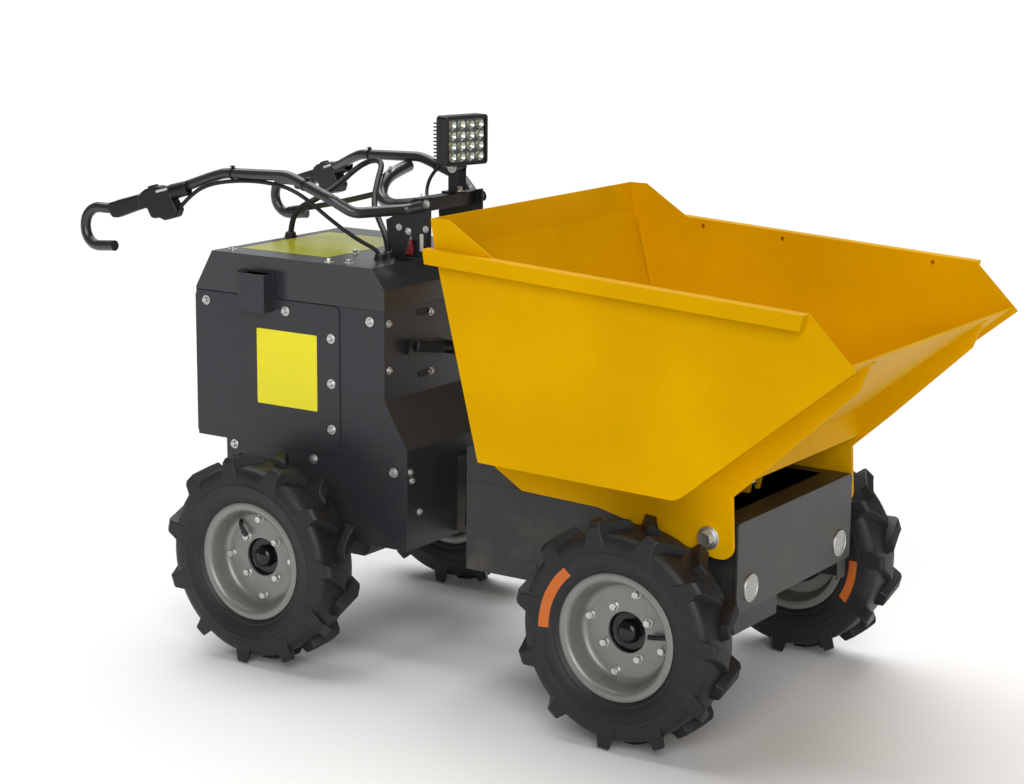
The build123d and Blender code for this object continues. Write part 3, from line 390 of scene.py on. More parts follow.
def printed_film(name, tint, roughness=0.35):
    """A blank vinyl label: even colour, faint creases and a worn tone."""
    finish = Finish(name, IOR=1.48)
    cloud, crease = finish.noise(14, 4), finish.noise(34, 2, (1, 1, 3))
    worn = finish.noise(120, 5).ramp(0.62, 0.8) * 0.25
    tone = finish.mix(cloud, shade(tint, 0.94), shade(tint, 1.05))
    finish.feed("Base Color", finish.mix(worn, tone, shade(tint, 0.7)))
    finish.feed("Roughness", crease * 0.12 + worn * 0.4 + (roughness - 0.05))
    finish.bump(crease, 0.12, 0.4)
    return finish.material


def moulded_glass(name, tint, clear, painted_prism_shade=0.82, prisms_per_metre=330):
    """Lens material with small prisms, opaque at clear 0 and see-through at 1, with painted shade
    that darkens each prism towards its edges.
    """
    finish = Finish(name, IOR=1.45, Transmission_Weight=clear)
    prisms = finish.cells(prisms_per_metre)
    # painted shade: the base colour darkens from each prism's middle towards its edges
    finish.feed("Base Color", finish.mix(
        prisms.ramp(0.1, 0.7), shade(tint, 1), shade(tint, painted_prism_shade)))
    finish.feed("Roughness", prisms * 0.1 + 0.06)
    finish.bump(prisms, 0.4 - 0.36 * clear, 0.5)
    return finish.material


FINISHES = {}


def make_finishes(tints):
    """All finishes of the machine, each named after what it covers."""
    FINISHES.update({
        "bucket": powder_coat(
            "bucket_powder_coat", tints.bucket, 0.5, 0.03, 0, 0.1, 1.16, (1, 0.72, 0.04, 1)),
        "body": powder_coat("body_powder_coat", tints.body, 0.4, 0.06, 0.06),
        "hood": powder_coat("hood_gloss_coat", tints.body, 0.24, 0.02, 0.2, 0.05),
        "chassis": powder_coat("chassis_powder_coat", tints.chassis, 0.42, 0.16, 0.1),
        "handle": powder_coat("handlebar_coat", tints.handle, 0.26, 0.02, 0.35, 0.06),
        "black": powder_coat("black_paint", tints.black, 0.45, 0.18, 0.1),
        "rubber": rubber("tyre_rubber_compound", tints.rubber),
        "sleeve": rubber("cable_sleeve", shade(tints.black, 1.1)[:3], 0.04),
        "rim": silver_paint("wheel_silver", tints.rim),
        "zinc": metal("zinc_plate", linear(212, 214, 212), 0.42),
        "chrome": metal("polished_rod", linear(220, 222, 224), 0.14, (1, 1, 12), 0.08),
        "steel": metal("bare_steel", linear(120, 118, 114), 0.42, (1, 1, 4), 0.4),
        "plastic": plastic("black_moulding", tints.black),
        "gloss": plastic("gloss_black", tints.black, 0.16, 0.04),
        "red": plastic("red_moulding", tints.red, 0.35, 0.1),
        "label": printed_film("cover_label_film", tints.label),
        "band": printed_film("hood_label_film", tints.band, 0.16),
        "sticker": printed_film("sidewall_sticker_film", tints.sticker, 0.5),
        "sticker_red": printed_film("sidewall_sticker_red", linear(150, 24, 24), 0.5),
        "lens": moulded_glass("lamp_glass", linear(236, 240, 236), 1.0, 0.96, 60),
        "reflector": moulded_glass("round_reflector", linear(196, 196, 190), 0.0, 0.55, 460),
        "chip": plastic("lamp_chip", linear(178, 170, 120), 0.3, 0.05),
        "mirror": metal("lamp_mirror", linear(226, 230, 224), 0.12, (1, 1, 1), 0.02),
    })


# ---------------------------------------------------------------- modelling kit
def object_mode():
    if bpy.context.mode != "OBJECT":
        bpy.ops.object.mode_set(mode="OBJECT")


def work_on(*pieces):
    """Leaves only these pieces selected, the first one active."""
    object_mode()
    bpy.ops.object.select_all(action="DESELECT")
    for piece in pieces:
        piece.select_set(True)
    bpy.context.view_layer.objects.active = pieces[0]
    return pieces[0]


def chosen(piece, kind, test):
    """Goes into edit mode with the vertices, edges or faces that pass a test selected.

    The test gets a vertex's place, an edge's middle and direction, or a face's
    middle and normal, all in millimetres.
    """
    work_on(piece)
    bpy.ops.object.mode_set(mode="EDIT")
    bpy.ops.mesh.select_mode(type=kind)
    bpy.ops.mesh.select_all(action="DESELECT")
    bpy.ops.object.mode_set(mode="OBJECT")
    mesh = piece.data
    if kind == "VERT":
        for vertex in mesh.vertices:
            vertex.select = test(vertex.co / MM)
    elif kind == "EDGE":
        for edge in mesh.edges:
            start, end = (mesh.vertices[index].co / MM for index in edge.vertices)
            edge.select = test((start + end) / 2, (end - start).normalized())
    else:
        for face in mesh.polygons:
            face.select = test(face.center / MM, face.normal)
    bpy.ops.object.mode_set(mode="EDIT")


def every(piece):
    """Goes into edit mode with the whole piece selected."""
    work_on(piece)
    bpy.ops.object.mode_set(mode="EDIT")
    bpy.ops.mesh.select_mode(type="VERT")
    bpy.ops.mesh.select_all(action="SELECT")


def settled(piece):
    """The piece with its object back on the origin and its place in its mesh."""
    work_on(piece)
    bpy.ops.object.transform_apply(location=True, rotation=True, scale=True)
    return piece


def modify(piece, kind, **settings):
    """Adds a modifier and applies it."""
    work_on(piece)
    modifier = piece.modifiers.new(kind.title(), kind)
    for name, value in settings.items():
        setattr(modifier, name, value)
    bpy.ops.object.modifier_apply(modifier=modifier.name)
    return piece


def rounded_edges(piece, width, segments=2, angle=28):
    """Rounds the piece's sharp edges, the width in metres."""
    return modify(
        piece, "BEVEL", width=width, segments=segments, limit_method="ANGLE",
        angle_limit=radians(angle), miter_outer="MITER_ARC",
    )


def fresh(add, **settings):
    """A new piece from a mesh operator, its object on the origin."""
    bpy.ops.object.select_all(action="DESELECT")
    add(**settings)
    return settled(bpy.context.object)


def block(low, high, edge=0, segments=2):
    """A box between two corners with rounded edges, in millimetres."""
    low, high = Vector(low), Vector(high)
    piece = fresh(
        bpy.ops.mesh.primitive_cube_add,
        size=1, location=(low + high) / 2 * MM, scale=(high - low) * MM,
    )
    return rounded_edges(piece, edge * MM, segments) if edge else piece


def disc(radius, depth, middle=(0, 0, 0), sides=32):
    """An upright cylinder, in millimetres."""
    return fresh(
        bpy.ops.mesh.primitive_cylinder_add,
        vertices=sides, radius=radius * MM, depth=depth * MM, location=Vector(middle) * MM,
    )


def swept(section, steps, angle):
    """A section of (across, radius) pairs turned about the Y axis, left in edit mode."""
    points = [Vector((0, y, radius)) * MM for y, radius in section]
    piece = fresh(bpy.ops.mesh.primitive_plane_add, size=0.01)
    every(piece)
    bpy.ops.mesh.merge(type="CENTER")
    bpy.ops.transform.translate(value=points[0])
    for before, after in zip(points, points[1:]):
        bpy.ops.mesh.extrude_vertices_move(TRANSFORM_OT_translate={"value": after - before})
    bpy.ops.mesh.select_all(action="SELECT")
    bpy.ops.mesh.spin(steps=steps, angle=angle, center=(0, 0, 0), axis=(0, 1, 0))
    return piece


def spun(section, steps=48, closed=True):
    """A ring turned about the Y axis from (across, radius) pairs in millimetres.

    An open section that starts and ends on the axis gives a closed body.
    """
    piece = swept([*section, section[0]] if closed else section, steps, 2 * pi)
    bpy.ops.mesh.select_all(action="SELECT")
    bpy.ops.mesh.remove_doubles(threshold=0.00001)
    bpy.ops.mesh.normals_make_consistent(inside=False)
    object_mode()
    return piece


def tube(points, radius, handles=None, sides=5):
    """A round bar along points in millimetres, closed at its ends, as a mesh.

    With handles the points are a Bezier line; without, a NURBS line's control points.
    """
    line = bpy.data.curves.new("tube", "CURVE")
    line.dimensions = "3D"
    line.bevel_depth = radius * MM
    line.bevel_resolution = sides
    line.resolution_u = 8
    line.use_fill_caps = True
    if handles:
        spline = line.splines.new("BEZIER")
        spline.bezier_points.add(len(points) - 1)
        for knot, point, (left, right) in zip(spline.bezier_points, points, handles):
            knot.co, knot.handle_left, knot.handle_right = point * MM, left * MM, right * MM
    else:
        spline = line.splines.new("NURBS")
        spline.points.add(len(points) - 1)
        for knot, point in zip(spline.points, points):
            knot.co = (*(Vector(point) * MM), 1)
        spline.order_u = 3
        spline.use_endpoint_u = True
        spline.resolution_u = 8
    piece = bpy.data.objects.new("tube", line)
    bpy.context.scene.collection.objects.link(piece)
    work_on(piece)
    bpy.ops.object.convert(target="MESH")
    every(piece)
    bpy.ops.mesh.remove_doubles(threshold=0.00001)
    object_mode()
    return piece


def bent_tube(route, bends, radius, sides=6):
    """A tube whose corners are true bends of given radii."""
    route = [Vector(point) for point in route]
    points, handles = [route[0]], [(route[0], route[0].lerp(route[1], 0.1))]
    for before, corner, after, bend in zip(route, route[1:], route[2:], bends):
        arrive, leave = (corner - before).normalized(), (after - corner).normalized()
        turn = arrive.angle(leave)
        reach = bend * tan(turn / 2)
        pull = bend * tan(turn / 4) * 4 / 3
        start, end = corner - arrive * reach, corner + leave * reach
        points += [start, end]
        handles += [
            (start.lerp(points[-3], 0.1), start + arrive * pull),
            (end - leave * pull, end + leave * 0.1),
        ]
    points.append(route[-1])
    handles.append((route[-1].lerp(route[-2], 0.1), route[-1]))
    return tube(points, radius, handles, sides)


def moved(piece, matrix):
    """The piece moved by a matrix in metres, its faces still pointing outwards."""
    piece.data.transform(matrix)
    if matrix.determinant() < 0:
        piece.data.flip_normals()
    return piece


def copied(piece, matrix):
    """A copy with its own mesh, moved by a matrix in metres."""
    twin = piece.copy()
    twin.data = piece.data.copy()
    bpy.context.scene.collection.objects.link(twin)
    return moved(twin, matrix)


def shift(place):
    """The matrix that moves the origin to a place in millimetres."""
    return Matrix.Translation(Vector(place) * MM)


def along(place, run):
    """The matrix that stands a thing made along Y on a place, pointing along a run."""
    return shift(place) @ run.to_track_quat("Y", "Z").to_matrix().to_4x4()


def pushed(piece, test, push):
    """Moves the vertices that pass a test by a step in millimetres."""
    chosen(piece, "VERT", test)
    bpy.ops.transform.translate(value=[step * MM for step in push])
    object_mode()
    return piece


def hollowed(piece, test, rim, push):
    """Sinks the faces that pass a test inside a rim, both in millimetres."""
    chosen(piece, "FACE", test)
    bpy.ops.mesh.inset(thickness=rim * MM)
    bpy.ops.mesh.extrude_region_move(
        TRANSFORM_OT_translate={"value": [step * MM for step in push]})
    object_mode()
    return piece


def gathered(piece, test, place):
    """Merges the vertices that pass a test and sets them on a place in millimetres."""
    chosen(piece, "VERT", test)
    bpy.ops.mesh.merge(type="CENTER")
    object_mode()
    for vertex in piece.data.vertices:
        if vertex.select:
            vertex.co = Vector(place) * MM


def joined(pieces):
    """Several pieces made one object."""
    work_on(*pieces)
    if len(pieces) > 1:
        bpy.ops.object.join()
    return bpy.context.view_layer.objects.active


def removed(*pieces):
    for piece in pieces:
        bpy.data.objects.remove(piece)


def middle_of(node):
    """The matrix that moves the origin to the middle of a CAD node's box."""
    low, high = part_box(node)
    return Matrix.Translation((low + high) / 2)


def mirrored(side):
    """The matrix that mirrors left and right for side -1 and keeps them for side 1."""
    return Matrix.Scale(side, 4, (0, 1, 0))


def at(place, up, turn=0):
    """The matrix that stands an upright thing on a place in millimetres, facing up."""
    stand = Vector(up).to_track_quat("Z", "Y").to_matrix().to_4x4()
    return shift(place) @ stand @ Matrix.Rotation(radians(turn), 4, "Z")


def done(piece, name, finish, body, replaces=(), smooth=32):
    """Names a finished piece, gives it its finish and hands it to the frame."""
    settled(piece)
    piece.name = piece.data.name = name
    piece.data.materials.clear()
    piece.data.materials.append(FINISHES[finish])
    bpy.ops.object.shade_smooth_by_angle(angle=radians(smooth))
    modify(piece, "WEIGHTED_NORMAL", keep_sharp=True)
    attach(piece, body)
    if replaces:
        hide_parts(*replaces)
    return piece


def mesh_of(node):
    """A loose copy of a CAD node, merged into one skin with flat faces made whole."""
    piece = frame["nodes"][node].copy()
    piece.data = piece.data.copy()
    for key in [key for key in piece.keys() if key.startswith("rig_")]:
        del piece[key]
    piece.parent = None
    bpy.context.scene.collection.objects.link(piece)
    every(piece)
    bpy.ops.mesh.remove_doubles(threshold=0.00002)
    bpy.ops.mesh.dissolve_limited(angle_limit=radians(0.5))
    object_mode()
    return piece


def dressed(node, edge, finish, angle=28, piece=None):
    """The CAD node itself with its edges rounded, standing for it."""
    piece = rounded_edges(piece or mesh_of(node), edge, 2, angle)
    return done(piece, f"{node}_dressed", finish, BODY_OF[node], [node])


def hex_bolt(width, head=0.62, washer=0.95):
    """A hexagon head on its washer, upright on the origin, with a dished top."""
    height, washer_t = width * head, width * 0.13
    plate = disc(width * washer, washer_t, (0, 0, washer_t / 2), 24)
    cap = disc(width / sqrt(3), height, (0, 0, washer_t + height / 2), 6)
    chosen(cap, "FACE", lambda middle, normal: normal.z > 0.9)
    bpy.ops.mesh.inset(thickness=width * 0.07 * MM, depth=width * 0.05 * MM)
    bpy.ops.mesh.inset(thickness=width * 0.16 * MM, depth=-width * 0.06 * MM)
    object_mode()
    return rounded_edges(joined([plate, cap]), width * 0.03 * MM, 1)


def bolts(name, width, places, body):
    """Like bolts on places with their outward directions, joined to one piece."""
    model = hex_bolt(width)
    heads = [
        copied(model, at(place, up, (index * 47) % 60))
        for index, (place, up) in enumerate(places)
    ]
    removed(model)
    return done(joined(heads), name, "zinc", body)


def rounded_plate(low, high, corner, edge=0.15):
    """A flat plate between two corners; its thinnest direction is its thickness."""
    low, high = Vector(low), Vector(high)
    thin = min(range(3), key=lambda axis: high[axis] - low[axis])
    piece = block(low, high)
    chosen(piece, "EDGE", lambda middle, run: abs(run[thin]) > 0.9)
    bpy.ops.mesh.bevel(offset=corner * MM, segments=5, affect="EDGES")
    object_mode()
    return rounded_edges(piece, edge * MM, 1, 60)


# ---------------------------------------------------------------- operators
class DumperOperator:
    """What the operators of this add-on share."""
    bl_options = {"REGISTER", "UNDO"}

    @property
    def sizes(self):
        return bpy.context.scene.dumper_sizes


class DUMPER_OT_finishes(DumperOperator, bpy.types.Operator):
    """Make the machine's procedural finishes"""
    bl_idname = "dumper.finishes"
    bl_label = "Finishes"

    def execute(self, context):
        make_finishes(context.scene.dumper_colours)
        return {"FINISHED"}


def lug_model(edge):
    """One tread lug: ahead along X, across the tread along +Y, out along Z."""
    lug = block((-20, -8, 156), (20, 53.6, 204.4))
    every(lug)
    for cut in (12, 32, 45):
        bpy.ops.mesh.select_all(action="SELECT")
        bpy.ops.mesh.bisect(plane_co=(0, cut * MM, 0), plane_no=(0, 1, 0))
    # flanks lean in towards the tip, and the lug slants across the tread
    for place, push in ((-8, -22), (12, -9.5), (32, 4.5), (45, 11.5), (53.6, 15)):
        pushed(lug, lambda point: abs(point.y - place) < 1, (push, 0, 0))
        chosen(lug, "VERT", lambda point: abs(point.y - place) < 1 and point.z > 200)
        bpy.ops.transform.resize(value=(0.58, 1, 1), center_override=(push * MM, 0, 0.204))
    # the inner end slopes down to the tread, the outer end rounds over the shoulder
    pushed(lug, lambda point: point.y < -7 and point.z > 200, (0, 8, -1))
    pushed(lug, lambda point: point.y > 53 and point.z > 200, (0, -3, -7))
    chosen(lug, "VERT", lambda point: point.y > 53 and point.z < 160)
    bpy.ops.transform.resize(value=(1.1, 1, 1), center_override=(15 * MM, 0, 0.158))
    # the tip follows the tyre's round outline
    chosen(lug, "VERT", lambda point: point.z > 190)
    object_mode()
    for vertex in lug.data.vertices:
        if vertex.select:
            vertex.co.z -= (TYRE_R - sqrt(TYRE_R**2 - (vertex.co.x / MM) ** 2)) * MM
    return rounded_edges(lug, edge, 3, 30)


class DUMPER_OT_wheels(DumperOperator, bpy.types.Operator):
    """Model one tyre, rim and hub, and set a copy of each at every wheel"""
    bl_idname = "dumper.wheels"
    bl_label = "Wheels"

    def tyre(self):
        """A lugged tyre about the Y axis."""
        carcass = spun(TYRE_SECTION + [(-y, r) for y, r in TYRE_SECTION[-2::-1]], 88)
        lug = lug_model(self.sizes.lug_edge)
        lugs = []
        for index in range(LUGS):
            turn = 2 * pi * index / LUGS
            out, ahead = Vector((cos(turn), 0, sin(turn))), Vector((-sin(turn), 0, cos(turn)))
            across = Vector((0, 1 if index % 2 else -1, 0))
            lugs.append(copied(lug, Matrix((ahead, across, out)).transposed().to_4x4()))
        removed(lug)
        return joined([carcass, *lugs])

    def wheel_bolts(self, inner_turn, outer_turn):
        """Two rings of four bolts on the wheel disc."""
        model = hex_bolt(self.sizes.wheel_bolt_width / MM, washer=0.66)
        heads = []
        for radius, first in ((50, inner_turn), (75, outer_turn)):
            for quarter in range(4):
                turn = radians(first + 90 * quarter)
                place = (radius * cos(turn), 0, radius * sin(turn))
                heads.append(copied(model, at(place, (0, 1, 0), 17 * quarter)))
        removed(model)
        return joined(heads)

    def valve(self, turn):
        """A rubber valve stem that lies along the disc."""
        turn = radians(turn)
        out = Vector((cos(turn), 0, sin(turn)))
        route = [out * 84 + Vector((0, -1, 0)), out * 80 + Vector((0, 6, 0)),
                 out * 70 + Vector((0, 10, 0)), out * 54 + Vector((0, 11, 0))]
        stem = tube(route, 4, sides=3)
        cap = moved(disc(4.8, 12, sides=12), at(out * 56 + Vector((0, 11, 0)), -out))
        return joined([stem, cap])

    def execute(self, context):
        tyre, rim, hub = self.tyre(), spun(RIM_SECTION, 72), spun(HUB_SECTION, 48, False)
        for name, side, inner_turn, outer_turn, valve_turn in WHEELS:
            body = f"wheel_{name}"
            place = middle_of(f"tyre_{name}")
            # a left wheel is the right wheel's mirror image, but every tread points ahead
            facing = place @ mirrored(side)
            done(copied(tyre, place), f"tyre_{name}_dressed", "rubber", body,
                 [f"tyre_{name}"], 40)
            done(copied(rim, facing), f"rim_{name}_dressed", "rim", body, [f"rim_{name}"])
            done(copied(hub, facing), f"hub_{name}_dressed", "gloss", body, [f"hub_{name}"], 40)
            ring, stem = self.wheel_bolts(inner_turn, outer_turn), self.valve(valve_turn)
            done(copied(ring, facing), f"wheel_bolts_{name}", "zinc", body)
            done(copied(stem, facing), f"valve_{name}", "sleeve", body)
            removed(ring, stem)
        removed(tyre, rim, hub)
        return {"FINISHED"}


def offset_line(points, distance):
    """The corners of an (x, z) line moved to its left by a distance, mitred."""
    points = [Vector(point) for point in points]
    lefts = [Vector((a.y - b.y, b.x - a.x)).normalized() for a, b in zip(points, points[1:])]
    lefts = [lefts[0], *lefts, lefts[-1]]
    corners = [before + after for before, after in zip(lefts, lefts[1:])]
    return [
        point + corner * (2 * distance / corner.length_squared)
        for point, corner in zip(points, corners)
    ]


class DUMPER_OT_body(DumperOperator, bpy.types.Operator):
    """Dress the rear body: panels, hood, covers, pocket, pivot and rear axle"""
    bl_idname = "dumper.body"
    bl_label = "Rear body"

    SHEETS = [
        # node, finish
        ("side_panel_left", "body"), ("side_panel_right", "body"),
        ("access_cover_left", "body"), ("access_cover_right", "body"),
        ("front_panel", "body"), ("rear_panel", "body"), ("hood", "hood"),
        ("rear_frame", "black"),
    ]
    THICK = [
        ("battery_block", "plastic"), ("pivot_yoke", "chassis"), ("pivot_pin", "steel"),
        ("rear_axle", "black"),
    ]

    def pocket(self):
        """An open sheet pocket with a back plate and a small hook beside it."""
        low, high = box_mm("side_pocket")
        box = hollowed(
            block((low.x + 18, low.y, low.z), high),
            lambda middle, normal: normal.z > 0.9, 2, (0, 0, -70),
        )
        back = block((low.x, high.y - 2, low.z + 6), (high.x + 2, high.y, high.z + 1))
        hook = tube([
            (low.x + 2, high.y - 2, high.z - 2), (low.x + 2, high.y - 14, high.z - 2),
            (low.x + 12, high.y - 20, high.z - 4), (low.x + 22, high.y - 20, high.z - 4),
        ], 2.2, sides=3)
        sheets = rounded_edges(joined([box, back]), self.sizes.sheet_edge)
        done(joined([sheets, hook]), "side_pocket_sheets", "body", "rear", ["side_pocket"])

    def execute(self, context):
        for node, finish in self.SHEETS:
            dressed(node, self.sizes.sheet_edge, finish)
        self.pocket()
        for node, finish in self.THICK:
            dressed(node, self.sizes.casting_edge, finish)
        return {"FINISHED"}


class DUMPER_OT_body_details(DumperOperator, bpy.types.Operator):
    """Add the rear body's bolts, slots, steering damper, cable glands and blank labels"""
    bl_idname = "dumper.body_details"
    bl_label = "Rear body details"

    def side_bolts(self):
        width = self.sizes.bolt_width / MM
        for hand, side in (("right", -1), ("left", 1)):
            places = []
            for x, z in SIDE_BOLTS:
                proud = COVER_T if x < COVER_FRONT_X and z > COVER_LOW_Z else 0
                places.append(((x, side * (BODY_SIDE_Y + proud), z), (0, side, 0)))
            places += [
                ((x, side * (BODY_SIDE_Y + COVER_T), z), (0, side, 0)) for x, z in COVER_BOLTS
            ]
            bolts(f"body_bolts_{hand}", width, places, "rear")

    def front_bolts(self):
        low_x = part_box("front_panel")[1].x / MM
        places = [((PANEL_X, y, z), (1, 0, 0)) for y, z in FRONT_PANEL_BOLTS]
        places += [((low_x, y, z), (1, 0, 0)) for y, z in LOW_PANEL_BOLTS]
        bolts("front_panel_bolts", 8, places, "rear")
        bolts("hood_bolts", 9, [((x, y, HOOD_Z), (0, 0, 1)) for x, y in HOOD_BOLTS], "rear")

    def slots(self):
        """Dark cable slots in the front panel, each with a raised rubber lip."""
        lips = []
        for y, z in PANEL_SLOTS:
            lip = rounded_plate(
                (PANEL_X - 0.4, y - 20, z - 6), (PANEL_X + 1.4, y + 20, z + 6), 5.5)
            lips.append(hollowed(lip, lambda middle, normal: normal.x > 0.9, 2, (-1.2, 0, 0)))
        done(joined(lips), "panel_slots", "sleeve", "rear")

    def damper(self):
        """A ribbed steering damper between its two feet."""
        ribs = [(0, 0), (0, 7), (2, 9)]
        for step in range(11):
            ribs += [(across + 7 * step, radius) for across, radius in (
                (4, 10.5), (7, 10.5), (7.6, 8.6), (10.4, 8.6))]
        ribs += [(84, 9), (86, 6.4), (86, 4), (128, 4), (128, 0)]
        start, end = Vector((-157, -132, 612)), Vector((-150, -8, 590))
        barrel = moved(spun(ribs, 24, False), along(start, end - start))
        done(barrel, "steering_damper", "plastic", "rear")
        foot = pushed(
            block((PANEL_X, -146, 596), (-150, -130, 624)),
            lambda point: point.x > -151 and point.z < 600, (-14, 0, 0),
        )
        end_foot = block((PANEL_X, -12, 578), (-144, -4, 604))
        done(rounded_edges(joined([foot, end_foot]), 1.2 * MM), "damper_feet", "black", "rear")

    def labels(self):
        thick = self.sizes.label_t / MM
        for hand, side in (("right", -1), ("left", 1)):
            face = side * (BODY_SIDE_Y + COVER_T)
            near, far = sorted((face, face + side * thick))
            cover = rounded_plate((-480, near, 476), (-331, far, 625), 3, 0.05)
            done(cover, f"cover_label_{hand}", "label", "rear")
        band = rounded_plate((-568, -150, HOOD_Z), (-352, 128, HOOD_Z + thick), 4, 0.05)
        done(band, "hood_label", "band", "rear")

    def glands(self):
        """Cable glands on the hood."""
        section = [(0, 0), (0, 13), (3, 13), (3.6, 11.4), (9, 10.6), (10.4, 9), (10.4, 0)]
        gland = spun(section, 24, False)
        stand = Matrix.Rotation(radians(90), 4, "X")
        glands = [
            copied(gland, shift((x, y, HOOD_Z)) @ stand)
            for x, y in ((-588, 28), (-266, -68), (-259, -104))
        ]
        removed(gland)
        done(joined(glands), "hood_glands", "sleeve", "rear")

    def execute(self, context):
        self.side_bolts()
        self.front_bolts()
        self.slots()
        self.damper()
        self.labels()
        self.glands()
        return {"FINISHED"}


class DUMPER_OT_handlebars(DumperOperator, bpy.types.Operator):
    """Bend the two handlebars and the brace, and add grips, ties and hardware"""
    bl_idname = "dumper.handlebars"
    bl_label = "Handlebars"

    def grip(self):
        """A rubber grip with rings, along Y from the origin."""
        section = [(0, BAR_R - 0.4), (0, 14), (2, 14.6), (4, 14.6), (6, 13)]
        for ring in range(12):
            start = 10 + 7 * ring
            section += [
                (start, 12.3), (start + 1.2, 13.2), (start + 3.6, 13.2), (start + 4.8, 12.3),
            ]
        section += [(GRIP_L - 2, 12.4), (GRIP_L, 11.6), (GRIP_L, BAR_R - 0.4)]
        return spun(section, 36)

    def tie(self):
        """A cable tie about the Y axis, with its lock on top."""
        band = spun([(-2.2, BAR_R), (-2.2, BAR_R + 1.4), (2.2, BAR_R + 1.4), (2.2, BAR_R)], 28)
        lock = block((-3, -3, BAR_R), (3, 3, BAR_R + 5), 0.8)
        tail = block((-1, -1.8, BAR_R + 3.4), (10, 1.8, BAR_R + 4.4))
        return joined([band, lock, tail])

    def execute(self, context):
        grip, tie = self.grip(), self.tie()
        for hand, side in (("left", 1), ("right", -1)):
            route = [Vector((x, side * y, z)) for x, y, z in BAR_ROUTE]
            done(bent_tube(route, BAR_BENDS, BAR_R), f"handlebar_{hand}_bent", "handle", "rear",
                 [f"handlebar_{hand}"], 50)
            start = route[GRIP_RUN]
            run = (route[GRIP_RUN + 1] - start).normalized()
            done(copied(grip, along(start + run * GRIP_START, run)), f"grip_{hand}", "sleeve",
                 "rear", ["grips"] if side > 0 else [])
            ties = []
            for first, second, part in TIES:
                low, high = route[first], route[second]
                ties.append(copied(tie, along(low.lerp(high, part), high - low)))
            done(joined(ties), f"cable_ties_{hand}", "plastic", "rear")
        removed(grip, tie)
        brace = tube(BRACE_ROUTE, 13, sides=6)
        done(brace, "brace_bent", "handle", "rear", ["handle_brace"], 50)
        bolts("brace_bolts", 10, [
            ((-413, 140, 906), (-0.2, -0.6, 0.6)), ((-212, -26, 882), (-0.3, 0, 1)),
        ], "rear")
        return {"FINISHED"}


